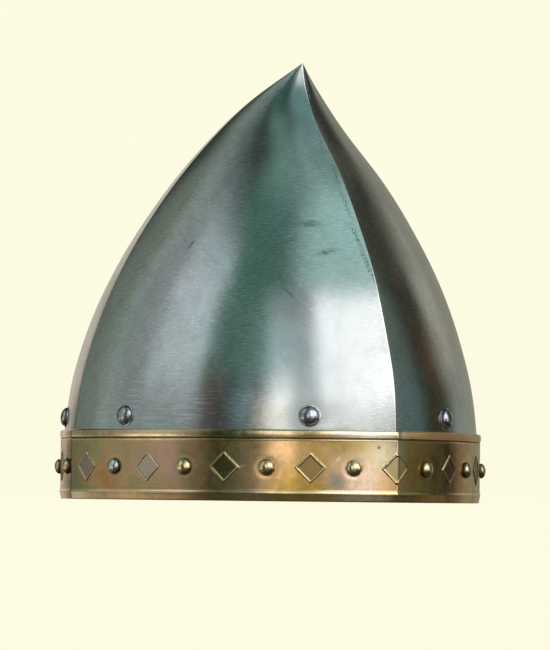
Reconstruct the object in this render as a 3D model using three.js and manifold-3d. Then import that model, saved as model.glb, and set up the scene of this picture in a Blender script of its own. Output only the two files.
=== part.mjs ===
// Pointed four-plate helmet with a leaning point, a folded brass brow band and a riveted leather liner.
// Millimetres, +Z up. The rim stands on z = 0, the front ridge faces -Y and the point leans forward.
import * as THREE from "three";
import { mergeVertices } from "three/addons/utils/BufferGeometryUtils.js";
import Module from "manifold-3d";

const wasm = await Module();
wasm.setup();

// Driving dimensions
const skull = {
  height: 216.5, // rim to point
  frontReach: 126.5, // axis to the front ridge at the rim
  rearReach: 127, // axis to the rear ridge at the rim
  sideReach: 105, // axis to a side ridge at the rim
  pointLead: 36, // the point stands this far in front of the axis
  wall: 1.6, // sheet of the four plates
  plateGap: 0.3, // joint between neighbouring plates, welded on the real helmet
};
const band = {
  height: 34, // the brow band, from the rim up
  sheet: 1.5,
  seatGap: 0.3, // between the plates and the band
  motifHeight: 16, // middle of the diamonds and rivets above the rim
  upperBorder: 3.9, // from the upper edge down to the crest of its border
  lowerBorder: 4.1, // from the rim up to the crest of its border
  borderRise: 0.6, // a border slopes out to its crest by this
  borderSlope: 0.6, // height over which a crest drops to the field
  lap: 7, // each end runs this far past the rear ridge
  joggle: 6, // length over which the upper end climbs onto the lower one
};
const diamond = {
  width: 14.6,
  height: 15,
  rise: 0.9,
  bevel: 1.1, // width of the sloping outer edge
  lip: 0.6, // width of the raised line inside the bevel
  dip: 0.45, // the flat middle lies this far below the raised line
  root: 0.4, // depth to which the emboss is joined into the band
};
const braces = 17; // pairs of one diamond and one brass rivet around the band
const bandRivet = { headRadius: 3.7, headHeight: 2.6, shankRadius: 1.6, tailRadius: 2.6, tailHeight: 0.9 };
const linerRivet = { headRadius: 4.6, headHeight: 2.9, shankRadius: 2, tailRadius: 3.1, tailHeight: 1.1 };
const linerRivetRise = 6.5; // centre of the liner rivets above the band
const rivetFit = 0.3; // clearance of a rivet in its holes and under its head
const washer = { radius: 6, thickness: 1 };
const headband = { height: 31, leather: 2.4, seatGap: 0.3, seamGap: 1.5 };
const tongue = {
  leather: 2,
  seatGap: 0.8, // between the headband and the foot of a tongue
  footWidth: 46,
  tipWidth: 12,
  footInset: 4, // the foot starts this far above the lower edge of the headband
  crownHeightShare: 0.48, // underside of the crown patch, between the band and the point
  tipReach: 26, // the tips end this far from the middle of the patch
};
const crownPatch = { radius: 37, thickness: 2, seatGap: 0.4 };

// Shares of the reaches above the band: height, front reach, side and rear reach, lead
const sectionShares = [
  [0, 1, 1, 0],
  [0.12, 0.98, 0.975, 0.02],
  [0.25, 0.905, 0.923, 0.085],
  [0.4, 0.795, 0.826, 0.166],
  [0.55, 0.646, 0.686, 0.25],
  [0.7, 0.461, 0.505, 0.35],
  [0.82, 0.278, 0.326, 0.45],
  [0.91, 0.14, 0.174, 0.64],
  [0.97, 0.043, 0.058, 0.87],
  [1, 0, 0, 1],
];
// Bulge of a plate's arc over its chord, at the rim and at the point
const bulgeShares = { front: [0.17, 0.14], rear: [0.115, 0.1] };
const linerRivetShares = [0.235, 0.785]; // places of the liner rivets along each plate
const crownInsideShare = 2.6; // walls between the point and the highest hollow under it
const probeShare = 0.002; // step for measuring a slope
const slenderShares = { from: 10, to: 30 }; // lengths, in walls, between which a narrow plate thins evenly

// Counts
const plateColumns = 10;
const bandSteps = 12; // along one plate's side of the band
const splitRows = 6; // rows of the section shares that get a further row above them
const domeSteps = 3;
const rivetSides = 10;
const washerSteps = 4;
const holeSides = 8;
const tongueColumns = 4;
const tongueSteps = 6;
const patchSides = 16;

const steel = { color: 0x8d9290, roughness: 0.38, metalness: 0.95 };
const brightSteel = { color: 0xb4b6b6, roughness: 0.22, metalness: 1 };
const brass = { color: 0xb08a4e, roughness: 0.35, metalness: 0.95 };
const leather = { color: 0x6a4a30, roughness: 0.85, metalness: 0 };

const helmet = new THREE.Group();

function addPiece(name, geometry, look) {
  const mesh = new THREE.Mesh(geometry, new THREE.MeshStandardMaterial(look));
  mesh.name = name;
  helmet.add(mesh);
  return mesh;
}

// Closed geometry from a list of corner triples; triples that have shrunk to a line are dropped.
function closedGeometry(triangles) {
  const corners = [];
  for (const [a, b, c] of triangles) {
    if (a.equals(b) || b.equals(c) || c.equals(a)) continue;
    for (const p of [a, b, c]) corners.push(p.x, p.y, p.z);
  }
  const geometry = new THREE.BufferGeometry();
  geometry.setAttribute("position", new THREE.Float32BufferAttribute(corners, 3));
  geometry.computeVertexNormals();
  return geometry;
}

// Sheet solid between two grids of points, rows upward and columns to the right seen from outside.
function sheetGeometry(outer, inner) {
  const triangles = [];
  const quad = (a, b, c, d) => triangles.push([a, b, c], [a, c, d]);
  const top = outer.length - 1;
  const end = outer[0].length - 1;
  for (let i = 0; i < top; i++) {
    for (let j = 0; j < end; j++) {
      quad(outer[i][j], outer[i][j + 1], outer[i + 1][j + 1], outer[i + 1][j]);
      quad(inner[i][j + 1], inner[i][j], inner[i + 1][j], inner[i + 1][j + 1]);
    }
    quad(inner[i][0], outer[i][0], outer[i + 1][0], inner[i + 1][0]);
    quad(inner[i][end], inner[i + 1][end], outer[i + 1][end], outer[i][end]);
  }
  for (let j = 0; j < end; j++) {
    quad(inner[0][j], inner[0][j + 1], outer[0][j + 1], outer[0][j]);
    quad(outer[top][j], outer[top][j + 1], inner[top][j + 1], inner[top][j]);
  }
  return closedGeometry(triangles);
}

function solidOf(geometry) {
  const bare = geometry.index ? geometry.toNonIndexed() : geometry.clone();
  bare.deleteAttribute("normal");
  bare.deleteAttribute("uv");
  const merged = mergeVertices(bare);
  return new wasm.Manifold(
    new wasm.Mesh({
      numProp: 3,
      vertProperties: merged.attributes.position.array,
      triVerts: new Uint32Array(merged.index.array),
    }),
  );
}

function geometryOf(solid) {
  const { vertProperties, triVerts } = solid.getMesh();
  const geometry = new THREE.BufferGeometry();
  geometry.setAttribute("position", new THREE.BufferAttribute(vertProperties, 3));
  geometry.setIndex(new THREE.BufferAttribute(triVerts, 1));
  geometry.computeVertexNormals();
  return geometry;
}

function cut(geometry, tools) {
  return geometryOf(tools.reduce((solid, tool) => solid.subtract(solidOf(tool)), solidOf(geometry)));
}

function join(geometry, others) {
  return geometryOf(others.reduce((solid, other) => solid.add(solidOf(other)), solidOf(geometry)));
}

// Form of the skull

const shareCurve = new THREE.CubicInterpolant(
  sectionShares.map((row) => row[0]),
  sectionShares.flatMap((row) => row.slice(1)),
  sectionShares[0].length - 1,
);

// Corners and bulges of the level cut at a height.
function sectionAt(z) {
  const share = THREE.MathUtils.clamp((z - band.height) / (skull.height - band.height), 0, 1);
  const [front, back, lead] = shareCurve.evaluate(share);
  const middle = -lead * skull.pointLead;
  return {
    front: new THREE.Vector2(0, middle - front * skull.frontReach),
    side: new THREE.Vector2(back * skull.sideReach, middle),
    rear: new THREE.Vector2(0, middle + back * skull.rearReach),
    frontBulge: THREE.MathUtils.lerp(...bulgeShares.front, share),
    rearBulge: THREE.MathUtils.lerp(...bulgeShares.rear, share),
  };
}

// Arc from one corner to the next, bulging outward by a share of its chord.
function arcBetween(from, to, bulge) {
  const chord = to.clone().sub(from);
  const length = chord.length();
  const outward = new THREE.Vector2(chord.y, -chord.x).divideScalar(length || 1);
  const sagitta = bulge * length;
  const radius = (length * length / 4 + sagitta * sagitta) / (2 * sagitta || 1);
  const centre = from.clone().add(to).multiplyScalar(1 / 2).addScaledVector(outward, sagitta - radius);
  const startAngle = from.clone().sub(centre).angle();
  const turn = 4 * Math.atan(2 * bulge);
  return {
    length: radius * turn,
    sag: (parts) => radius * (1 - Math.cos(turn / parts / 2)), // dip of a chord over one of some equal parts
    at(share) {
      if (length === 0) return from.clone();
      const angle = startAngle + share * turn;
      return new THREE.Vector2(Math.cos(angle), Math.sin(angle)).multiplyScalar(radius).add(centre);
    },
  };
}

// Arc of the front or rear plate of the +X side; shares run from front to rear.
function plateArc(plate, z) {
  const section = sectionAt(z);
  return plate === "front"
    ? arcBetween(section.front, section.side, section.frontBulge)
    : arcBetween(section.side, section.rear, section.rearBulge);
}

function skullPoint(plate, share, z) {
  const p = plateArc(plate, z).at(share);
  return new THREE.Vector3(p.x, p.y, z);
}

function skullNormal(plate, share, z) {
  const step = probeShare * skull.height;
  const level = Math.min(z, skull.height - 2 * step);
  const along = skullPoint(plate, Math.min(share + probeShare, 1), level).sub(
    skullPoint(plate, Math.max(share - probeShare, 0), level),
  );
  const up = skullPoint(plate, share, level + step).sub(skullPoint(plate, share, level));
  const normal = along.cross(up).normalize();
  return z <= band.height ? normal.setZ(0).normalize() : normal;
}

// Direction and length factor that keep a sheet's thickness at a ridge, where two plates meet.
function ridgeOffset(plate, share, z) {
  const own = skullNormal(plate, share, z);
  const other = own.clone();
  if (plate === "front" && share === 1) other.copy(skullNormal("rear", 0, z));
  else if (plate === "rear" && share === 0) other.copy(skullNormal("front", 1, z));
  else if (share === 0 || share === 1) other.setX(-own.x);
  const middle = own.clone().add(other).normalize();
  return middle.divideScalar(middle.dot(own));
}

function squareInset(plate, share, z, inset) {
  return skullPoint(plate, share, z).addScaledVector(ridgeOffset(plate, share, z), -inset);
}

// Point of a surface that lies inside the skull's outer face by an inset. Near the point of the
// helmet, where a plate is hardly wider than its wall is thick, it follows the two ridges instead.
function insetPoint(plate, share, z, inset) {
  const { length } = plateArc(plate, z);
  const square = squareInset(plate, share, z, inset);
  const { from, to } = slenderShares;
  const wide = THREE.MathUtils.smoothstep(length, from * skull.wall, to * skull.wall);
  if (wide === 1) return square;
  const [start, end] = [0, 1].map((edge) => skullPoint(plate, edge, z));
  const [insetStart, insetEnd] = [0, 1].map((edge) => squareInset(plate, edge, z, inset));
  const shrink = insetStart.distanceTo(insetEnd) / start.distanceTo(end);
  const bulge = skullPoint(plate, share, z).sub(start.clone().lerp(end, share)).multiplyScalar(shrink);
  return insetStart.lerp(insetEnd, share).add(bulge).lerp(square, wide);
}

const shareRows = sectionShares.flatMap(([share], i) =>
  i < splitRows ? [share, (share + sectionShares[i + 1][0]) / 2] : [share]);
const plateRows = [0, ...shareRows.map((share) => band.height + share * (skull.height - band.height))];

function mirrored(point) {
  return new THREE.Vector3(-point.x, point.y, point.z);
}

// Grid rows keep their columns to the right as seen from outside on both sides of the helmet.
function onSide(side, rows) {
  return side === "left" ? rows : rows.map((row) => row.map(mirrored).reverse());
}

// Direction from the weld joint at a ridge into the plate, square to the joint's face.
function awayFromRidge(plate, share, z) {
  const isSideRidge = (plate === "front") === (share === 1);
  if (!isSideRidge) return new THREE.Vector3(1, 0, 0);
  const step = probeShare * skull.height;
  const level = Math.min(z, skull.height - 2 * step);
  const ridge = skullPoint(plate, share, level + step).sub(skullPoint(plate, share, level));
  const away = ridge.cross(ridgeOffset(plate, share, level)).normalize();
  const wanted = plate === "front" ? -1 : 1;
  return away.multiplyScalar(wanted * Math.sign(away.y));
}

// Moves the edge columns of a row back from the ridges by half of the joint's gap.
function backFromRidges(plate, row, z) {
  const fromStart = awayFromRidge(plate, 0, z).multiplyScalar(skull.plateGap / 2);
  const fromEnd = awayFromRidge(plate, 1, z).multiplyScalar(skull.plateGap / 2);
  const isPoint = row[0].equals(row[row.length - 1]);
  return row.map((p, j) => {
    const moved = p.clone();
    if (isPoint || j === 0) moved.add(fromStart);
    if (isPoint || j === row.length - 1) moved.add(fromEnd);
    return moved;
  });
}

function makePlate(side, plate, tools) {
  const shares = Array.from({ length: plateColumns + 1 }, (_, j) => j / plateColumns);
  const crownInside = skull.height - crownInsideShare * skull.wall;
  const hollowTop = insetPoint("front", 0, crownInside, skull.wall)
    .add(insetPoint("rear", 1, crownInside, skull.wall))
    .divideScalar(2);
  const outer = plateRows.map((z) =>
    backFromRidges(plate, shares.map((share) => skullPoint(plate, share, z)), z));
  const inner = plateRows.map((z) => {
    if (z === skull.height) return backFromRidges(plate, shares.map(() => hollowTop), z);
    const raised = Math.max(0, z - band.height) * (crownInside - band.height) / (skull.height - band.height);
    const level = Math.min(z, band.height) + raised;
    return backFromRidges(plate, shares.map((share) => insetPoint(plate, share, level, skull.wall)), level);
  });
  return cut(sheetGeometry(onSide(side, outer), onSide(side, inner)), tools);
}

// Brow band: places along it run from the front ridge, positive on the +X side

const fieldOffset = band.seatGap + band.sheet; // outer face of the band's field, off the plates
const rimArcs = { front: plateArc("front", 0), rear: plateArc("rear", 0) };
const halfRound = rimArcs.front.length + rimArcs.rear.length;
const pitch = 2 * halfRound / braces;
const plateSag = rimArcs.front.sag(plateColumns);

function rimPlace(run) {
  const wrapped = Math.abs(run) > halfRound ? run - 2 * halfRound * Math.sign(run) : run;
  const along = Math.abs(wrapped);
  const plate = along <= rimArcs.front.length ? "front" : "rear";
  const share = plate === "front"
    ? along / rimArcs.front.length
    : (along - rimArcs.front.length) / rimArcs.rear.length;
  return { plate, share: Math.min(share, 1), mirror: wrapped < 0 };
}

// Point off the plates by an offset, at a place along the rim; ridges keep their fold.
function bandPoint(run, z, offset) {
  const { plate, share, mirror } = rimPlace(run);
  const point = skullPoint(plate, share, 0).addScaledVector(ridgeOffset(plate, share, 0), offset).setZ(z);
  return mirror ? mirrored(point) : point;
}

function bandNormal(run) {
  const { plate, share, mirror } = rimPlace(run);
  const normal = ridgeOffset(plate, share, 0).normalize();
  return mirror ? mirrored(normal) : normal;
}

// Section of the band's outer face: height and rise over the field, from the rim up.
const bandSection = [
  [0, 0],
  [band.lowerBorder, band.borderRise],
  [band.lowerBorder + band.borderSlope, 0],
  [band.height - band.upperBorder - band.borderSlope, 0],
  [band.height - band.upperBorder, band.borderRise],
  [band.height, 0],
];

// Steps along the band, with one at every ridge.
function bandRuns() {
  const runs = [];
  const sideRuns = (from, to) => {
    for (let i = 0; i < bandSteps; i++) runs.push(from + (to - from) * i / bandSteps);
  };
  const corner = rimArcs.front.length;
  runs.push(-halfRound - band.lap);
  sideRuns(-halfRound, -corner);
  sideRuns(-corner, 0);
  sideRuns(0, corner);
  sideRuns(corner, halfRound - band.lap - band.joggle);
  runs.push(halfRound - band.lap - band.joggle, halfRound - band.lap, halfRound, halfRound + band.lap);
  return runs;
}

// The end that laps over the other one is lifted by a sheet and the seat gap.
function lapLift(run) {
  const start = halfRound - band.lap - band.joggle;
  return THREE.MathUtils.clamp((run - start) / band.joggle, 0, 1) * (band.sheet + band.seatGap);
}

// Embossed diamond around a place on the band, folded wherever the band is.
function diamondGeometry(run) {
  const rings = [
    [0, -diamond.root],
    [0, 0],
    [diamond.bevel, diamond.rise],
    [diamond.bevel + diamond.lip, diamond.rise],
    [diamond.bevel + 2 * diamond.lip, diamond.rise - diamond.dip],
  ].map(([inset, rise]) => {
    const halfWidth = diamond.width / 2 - inset;
    const halfHeight = diamond.height / 2 - inset * diamond.height / diamond.width;
    const corner = (dx, dz) => {
      const place = run + dx;
      return bandPoint(place, band.motifHeight + dz, fieldOffset + rise + lapLift(place));
    };
    return [corner(0, -halfHeight), corner(halfWidth, 0), corner(0, halfHeight), corner(-halfWidth, 0)];
  });
  const triangles = [];
  for (let i = 0; i + 1 < rings.length; i++) {
    for (let k = 0; k < 4; k++) {
      const n = (k + 1) % 4;
      triangles.push([rings[i][k], rings[i][n], rings[i + 1][n]]);
      triangles.push([rings[i][k], rings[i + 1][n], rings[i + 1][k]]);
    }
  }
  const [low, right, high, left] = rings[rings.length - 1];
  triangles.push([low, right, high], [low, high, left]);
  const [rootLow, rootRight, rootHigh, rootLeft] = rings[0];
  triangles.push([rootLow, rootHigh, rootRight], [rootLow, rootLeft, rootHigh]);
  return closedGeometry(triangles);
}

function makeBand(tools) {
  const runs = bandRuns();
  const rows = (depth) => bandSection.map(([z, rise]) =>
    runs.map((run) => bandPoint(run, z, fieldOffset + lapLift(run) + rise - depth)));
  const strip = sheetGeometry(rows(0), rows(band.sheet));
  const firstDiamond = -(braces - 1) / 2;
  const embosses = [];
  for (let i = 0; i < braces; i++) embosses.push(diamondGeometry((firstDiamond + i) * pitch));
  return cut(join(strip, embosses), tools);
}

// Rivets

// A site is a point under a rivet's head, with the way out of the sheet and the depth to its tail.
function bandRivetSites() {
  return Array.from({ length: braces }, (_, i) => {
    const run = (i + 1 / 2 - (braces - 1) / 2) * pitch;
    const point = bandPoint(run, band.motifHeight, fieldOffset + lapLift(run) + rivetFit);
    const normal = bandNormal(run);
    const depths = [-bandRivet.tailRadius, 0, bandRivet.tailRadius].map((aside) =>
      point.clone().sub(bandPoint(run + aside, band.motifHeight, -skull.wall)).dot(normal));
    return { point, normal, grip: Math.max(...depths) + plateSag + rivetFit };
  });
}

const linerRivetHeight = band.height + linerRivetRise;
const linerDepth = skull.wall + headband.seatGap + headband.leather + tongue.seatGap + tongue.leather;

function linerRivetSites() {
  const sites = [];
  for (const side of ["left", "right"]) {
    for (const plate of ["front", "rear"]) {
      for (const fromFront of linerRivetShares) {
        const share = plate === "front" ? fromFront : 1 - fromFront;
        const surface = skullPoint(plate, share, linerRivetHeight);
        const normal = skullNormal(plate, share, linerRivetHeight);
        const point = surface.addScaledVector(normal, rivetFit);
        sites.push({
          side,
          plate,
          share,
          point: side === "left" ? point : mirrored(point),
          normal: side === "left" ? normal : mirrored(normal),
          grip: linerDepth + washer.thickness + 3 * rivetFit,
        });
      }
    }
  }
  return sites;
}

function placeOn(object, site, depth) {
  object.quaternion.setFromUnitVectors(new THREE.Vector3(0, 1, 0), site.normal);
  object.position.copy(site.point).addScaledVector(site.normal, -depth);
}

// Domed head, shank and flattened tail in one turned profile; the head's underside is at y = 0.
function rivetGeometry(size, grip) {
  const profile = [
    new THREE.Vector2(0, -grip - size.tailHeight),
    new THREE.Vector2(size.tailRadius, -grip),
    new THREE.Vector2(size.shankRadius, -grip),
    new THREE.Vector2(size.shankRadius, 0),
  ];
  for (let i = 0; i <= domeSteps; i++) {
    const angle = i / domeSteps * Math.PI / 2;
    const radius = i === domeSteps ? 0 : size.headRadius * Math.cos(angle);
    profile.push(new THREE.Vector2(radius, size.headHeight * Math.sin(angle)));
  }
  return new THREE.LatheGeometry(profile, rivetSides);
}

// Drill along a rivet's axis, through everything that it grips.
function drillFor(site, size) {
  const radius = (size.shankRadius + rivetFit) / Math.cos(Math.PI / holeSides);
  const overrun = size.headHeight;
  const length = site.grip + 2 * overrun;
  const drill = new THREE.Mesh(new THREE.CylinderGeometry(radius, radius, length, holeSides));
  placeOn(drill, site, site.grip / 2);
  drill.updateMatrix();
  return drill.geometry.clone().applyMatrix4(drill.matrix);
}

// Liner

const headbandFoot = linerRivetHeight - headband.height / 2;
const headbandTop = linerRivetHeight + headband.height / 2;
const headbandInset = skull.wall + headband.seatGap;
const tongueInset = headbandInset + headband.leather + tongue.seatGap;

// Heights of a leather edge and of the plate rows between, leaving out rows that nearly touch an edge.
function levelsBetween(low, high) {
  return [low, ...plateRows.filter((z) => z > low + headband.leather && z < high - headband.leather), high];
}

function makeHeadband(tools) {
  const levels = levelsBetween(headbandFoot, headbandTop);
  const rows = (inset) => levels.map((z) => {
    const leftSide = [];
    for (const plate of ["front", "rear"]) {
      for (let j = plate === "front" ? 0 : 1; j <= plateColumns; j++) {
        leftSide.push(insetPoint(plate, j / plateColumns, z, inset));
      }
    }
    const seam = leftSide[leftSide.length - 1];
    const before = leftSide[leftSide.length - 2];
    const towards = before.clone().sub(seam).normalize();
    seam.addScaledVector(towards, headband.seamGap / 2);
    const rightSide = leftSide.slice(1).map(mirrored).reverse();
    return [...rightSide, ...leftSide];
  });
  return cut(sheetGeometry(rows(headbandInset), rows(headbandInset + headband.leather)), tools);
}

// Middle of the underside of the crown patch, over the middle of the headband.
function crownMiddle() {
  const height = THREE.MathUtils.lerp(band.height, skull.height, tongue.crownHeightShare);
  return new THREE.Vector3(0, sectionAt(headbandTop).side.y, height);
}

// Leather tongue: its foot lies on the headband and its upper part arches in to the crown patch.
function makeTongue(site, tools) {
  const arc = plateArc(site.plate, linerRivetHeight);
  const footShare = tongue.footWidth / arc.length;
  const crown = crownMiddle();
  const across = Array.from({ length: tongueColumns + 1 }, (_, j) => j / tongueColumns - 1 / 2);
  const footRow = (z, inset) =>
    across.map((a) => insetPoint(site.plate, site.share + a * footShare, z, inset));
  const footLevels = levelsBetween(headbandFoot + tongue.footInset, headbandTop);
  const rows = (inset, depth) => {
    const grid = footLevels.map((z) => footRow(z, inset));
    const last = grid[grid.length - 1];
    const start = last[tongueColumns / 2];
    const reach = new THREE.Vector3(start.x - crown.x, start.y - crown.y, 0);
    const outward = reach.clone().normalize();
    const sideways = new THREE.Vector3(0, 0, 1).cross(outward);
    const bends = last.map((p) => p.clone().sub(start).dot(outward));
    const tipAngle = Math.acos(tongue.tipReach / reach.length());
    const rise = (crown.z - depth - start.z) / Math.sin(tipAngle);
    for (let i = 1; i <= tongueSteps; i++) {
      const angle = tipAngle * i / tongueSteps;
      const level = start.z + rise * Math.sin(angle);
      const centre = reach.clone().multiplyScalar(Math.cos(angle)).add(crown).setZ(level);
      const toFoot = THREE.MathUtils.inverseLerp(Math.cos(tipAngle), 1, Math.cos(angle));
      const width = THREE.MathUtils.lerp(tongue.tipWidth, tongue.footWidth, toFoot);
      const curl = Math.cos(Math.PI / 2 * i / tongueSteps);
      grid.push(across.map((a, j) =>
        centre.clone().addScaledVector(sideways, a * width).addScaledVector(outward, bends[j] * curl)));
    }
    return grid;
  };
  const outer = rows(tongueInset, 0);
  const inner = rows(tongueInset + tongue.leather, tongue.leather);
  return cut(sheetGeometry(onSide(site.side, outer), onSide(site.side, inner)), tools);
}

function makeCrownPatch() {
  const { radius, thickness } = crownPatch;
  return new THREE.CylinderGeometry(radius, radius, thickness, patchSides).rotateX(Math.PI / 2);
}

function makeWasher() {
  const shape = new THREE.Shape().absarc(0, 0, washer.radius, 0, 2 * Math.PI);
  shape.holes.push(new THREE.Path().absarc(0, 0, linerRivet.shankRadius + rivetFit, 0, 2 * Math.PI));
  const ring = { depth: washer.thickness, bevelEnabled: false, curveSegments: washerSteps };
  return new THREE.ExtrudeGeometry(shape, ring).rotateX(Math.PI / 2);
}

// Assembly

const bandSites = bandRivetSites();
const linerSites = linerRivetSites();
const bandDrills = bandSites.map((site) => drillFor(site, bandRivet));
const linerDrills = linerSites.map((site) => drillFor(site, linerRivet));

for (const side of ["left", "right"]) {
  for (const plate of ["front", "rear"]) {
    addPiece(`skull_plate_${plate}_${side}`, makePlate(side, plate, [...bandDrills, ...linerDrills]), steel);
  }
}

addPiece("brow_band", makeBand(bandDrills), brass);

bandSites.forEach((site, i) => {
  placeOn(addPiece(`band_rivet_${i + 1}`, rivetGeometry(bandRivet, site.grip), brass), site, 0);
});

addPiece("liner_headband", makeHeadband(linerDrills), leather);

linerSites.forEach((site, i) => {
  const name = `${site.side}_${i % (linerSites.length / 2) + 1}`;
  placeOn(addPiece(`liner_rivet_${name}`, rivetGeometry(linerRivet, site.grip), brightSteel), site, 0);
  placeOn(addPiece(`liner_washer_${name}`, makeWasher(), brightSteel), site, linerDepth + 2 * rivetFit);
  addPiece(`liner_tongue_${name}`, makeTongue(site, linerDrills), leather);
});

const patch = addPiece("liner_crown_patch", makeCrownPatch(), leather);
patch.position.copy(crownMiddle());
patch.position.z += crownPatch.seatGap + crownPatch.thickness / 2;

// The middle of the whole length stands on the origin.
const frontEnd = bandPoint(0, band.motifHeight, fieldOffset + diamond.rise).y;
const rearSite = bandSites[braces - 1];
const rearEnd = rearSite.point.y + bandRivet.headHeight;
helmet.position.y = -(frontEnd + rearEnd) / 2;

export default helmet;
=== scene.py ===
"""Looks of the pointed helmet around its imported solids. Lengths are millimetres until a mesh is made."""
import math
import random

import bpy
import numpy as np
from mathutils import Matrix, Vector, noise


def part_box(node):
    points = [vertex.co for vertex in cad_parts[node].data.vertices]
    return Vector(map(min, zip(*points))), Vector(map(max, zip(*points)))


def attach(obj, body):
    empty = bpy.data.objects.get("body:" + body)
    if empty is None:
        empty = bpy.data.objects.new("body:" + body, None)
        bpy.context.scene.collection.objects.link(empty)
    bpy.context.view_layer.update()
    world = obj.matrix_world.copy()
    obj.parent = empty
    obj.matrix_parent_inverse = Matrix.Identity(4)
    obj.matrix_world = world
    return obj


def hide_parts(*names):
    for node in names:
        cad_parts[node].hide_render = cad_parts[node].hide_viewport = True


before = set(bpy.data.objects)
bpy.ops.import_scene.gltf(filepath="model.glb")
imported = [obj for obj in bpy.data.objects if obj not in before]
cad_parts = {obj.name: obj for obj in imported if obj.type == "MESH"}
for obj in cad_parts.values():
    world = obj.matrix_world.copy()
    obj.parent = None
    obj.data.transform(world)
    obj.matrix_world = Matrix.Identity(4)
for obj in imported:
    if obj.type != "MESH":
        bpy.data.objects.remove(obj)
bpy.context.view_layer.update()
MM = 0.001
BODY = "root"
rng = random.Random(7)

# Skull
HEIGHT = 216.5
FRONT_REACH = 126.5
REAR_REACH = 127.0
SIDE_REACH = 105.0
POINT_LEAD = 36.0
WALL = 1.6
RIDGE_RADIUS = 1.1
RIDGE_RADIUS_SHARE = 0.1
CROWN_INSIDE = HEIGHT - 2.6 * WALL
# Below the first arc length the inside is a scaled copy of the outside, above the second one a true offset
SLENDER = (10 * WALL, 30 * WALL)
PLATE_COLUMNS = 56
FOOT_LEVELS = (0.0, 0.25, 0.8)
BODY_START = 2.0
BODY_ROWS = 96
TIP_START = 190.0
TIP_ROWS = 24
TIP_CROWDING = 1.4
TIP_GAP = 0.05
# Ways from the band, the tip and a ridge over which the unevenness of the sheet grows, its share at the
# ridge itself, and the reach of the painted highlight along the ridges
BAND_FADE = (1.0, 22.0)
TIP_FADE = (6.0, 30.0)
RIDGE_FADE = 16.0
RIDGE_WOBBLE = 0.12
RIDGE_HIGHLIGHT_REACH = 1.6

# Band
BAND_HEIGHT = 34.0
BAND_SHEET = 1.5
SEAT_GAP = 0.3
FIELD_OFFSET = SEAT_GAP + BAND_SHEET
LAP = 7.0
JOGGLE = 6.0
MOTIFS = 17
MOTIF_HEIGHT = 16.0
DIAMOND_WIDTH = 14.6
DIAMOND_HEIGHT = 15.0
MOTIF_REACH = 9.0
EMBOSS_REACH = 8.6
COLUMN_STEP = 1.1
FOLD_STEP = 0.3
# Heights between which the field ends and the upper border starts
UPPER_BORDER = (29.9, 30.6)

# Rivets: head radius, head height, shank radius, tail radius, tail height
BAND_RIVET = (3.7, 2.6, 1.6, 2.6, 0.9)
LINER_RIVET = (4.6, 2.9, 2.0, 3.1, 1.1)
LINER_RIVET_FLANGE = 0.75
LINER_RIVET_HEIGHT = BAND_HEIGHT + 6.5
LINER_RIVET_SHARES = (0.235, 0.785)
LINER_RIVET_DIMPLE = 0.22
DIMPLE_REACH = 9.0
RIVET_FIT = 0.3
RIVET_TILT = 0.03
RIVET_UNEVENNESS = 0.09
DOME_FOOT = 0.15
DOME_STEPS = 11
PALE_RIVET_NUMBER = 5
WASHER_RADIUS = 6.0
WASHER_THICKNESS = 1.0
WASHER_EDGE = 0.12

# Liner
HEADBAND_HEIGHT = 31.0
HEADBAND_LEATHER = 2.4
HEADBAND_SEAM = 1.5
HEADBAND_EASE = 2.0
HEADBAND_SLACK = 0.15
HEADBAND_EDGE = 0.9
TONGUE_LEATHER = 2.0
TONGUE_GAP = 0.8
TONGUE_FOOT = 46.0
TONGUE_TIP = 12.0
TONGUE_INSET = 4.0
TONGUE_EDGE = 0.8
CROWN_HEIGHT = BAND_HEIGHT + 0.48 * (HEIGHT - BAND_HEIGHT)
TIP_REACH = 26.0
PATCH_RADIUS = 37.0
PATCH_THICKNESS = 2.0
PATCH_GAP = 0.4
PATCH_EDGE = 0.5

# Shares of the reaches above the band: height, front, side and rear, lead
SECTIONS = np.array([
    [0.0, 1.0, 1.0, 0.0],
    [0.12, 0.98, 0.975, 0.02],
    [0.25, 0.905, 0.923, 0.085],
    [0.4, 0.795, 0.826, 0.166],
    [0.55, 0.646, 0.686, 0.25],
    [0.7, 0.461, 0.505, 0.35],
    [0.82, 0.278, 0.326, 0.45],
    [0.91, 0.14, 0.174, 0.64],
    [0.97, 0.043, 0.058, 0.87],
    [1.0, 0.0, 0.0, 1.0],
])
# Bulge of a plate's arc over its chord, at the rim and at the point
FRONT_BULGES = (0.17, 0.14)
REAR_BULGES = (0.115, 0.1)
KNOTS = SECTIONS[:, 0]
SHARES = SECTIONS[:, 1:]

# The solids stand with the middle of their length on the origin; the forms here have their axis there.
SHIFT_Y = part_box("skull_plate_front_left")[0].y / MM + FRONT_REACH


# Form of the skull

def natural_spline(knots, values):
    """Second derivatives of the smooth curve through the rows."""
    count = len(knots)
    step = np.diff(knots)
    matrix = np.zeros((count, count))
    right = np.zeros((count, values.shape[1]))
    matrix[0, 0] = matrix[-1, -1] = 1
    for i in range(1, count - 1):
        matrix[i, i - 1:i + 2] = step[i - 1], 2 * (step[i - 1] + step[i]), step[i]
        right[i] = 6 * ((values[i + 1] - values[i]) / step[i] - (values[i] - values[i - 1]) / step[i - 1])
    return np.linalg.solve(matrix, right)


BENDS = natural_spline(KNOTS, SHARES)


def height_share(z):
    return np.clip((np.asarray(z, float) - BAND_HEIGHT) / (HEIGHT - BAND_HEIGHT), 0, 1)


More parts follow.
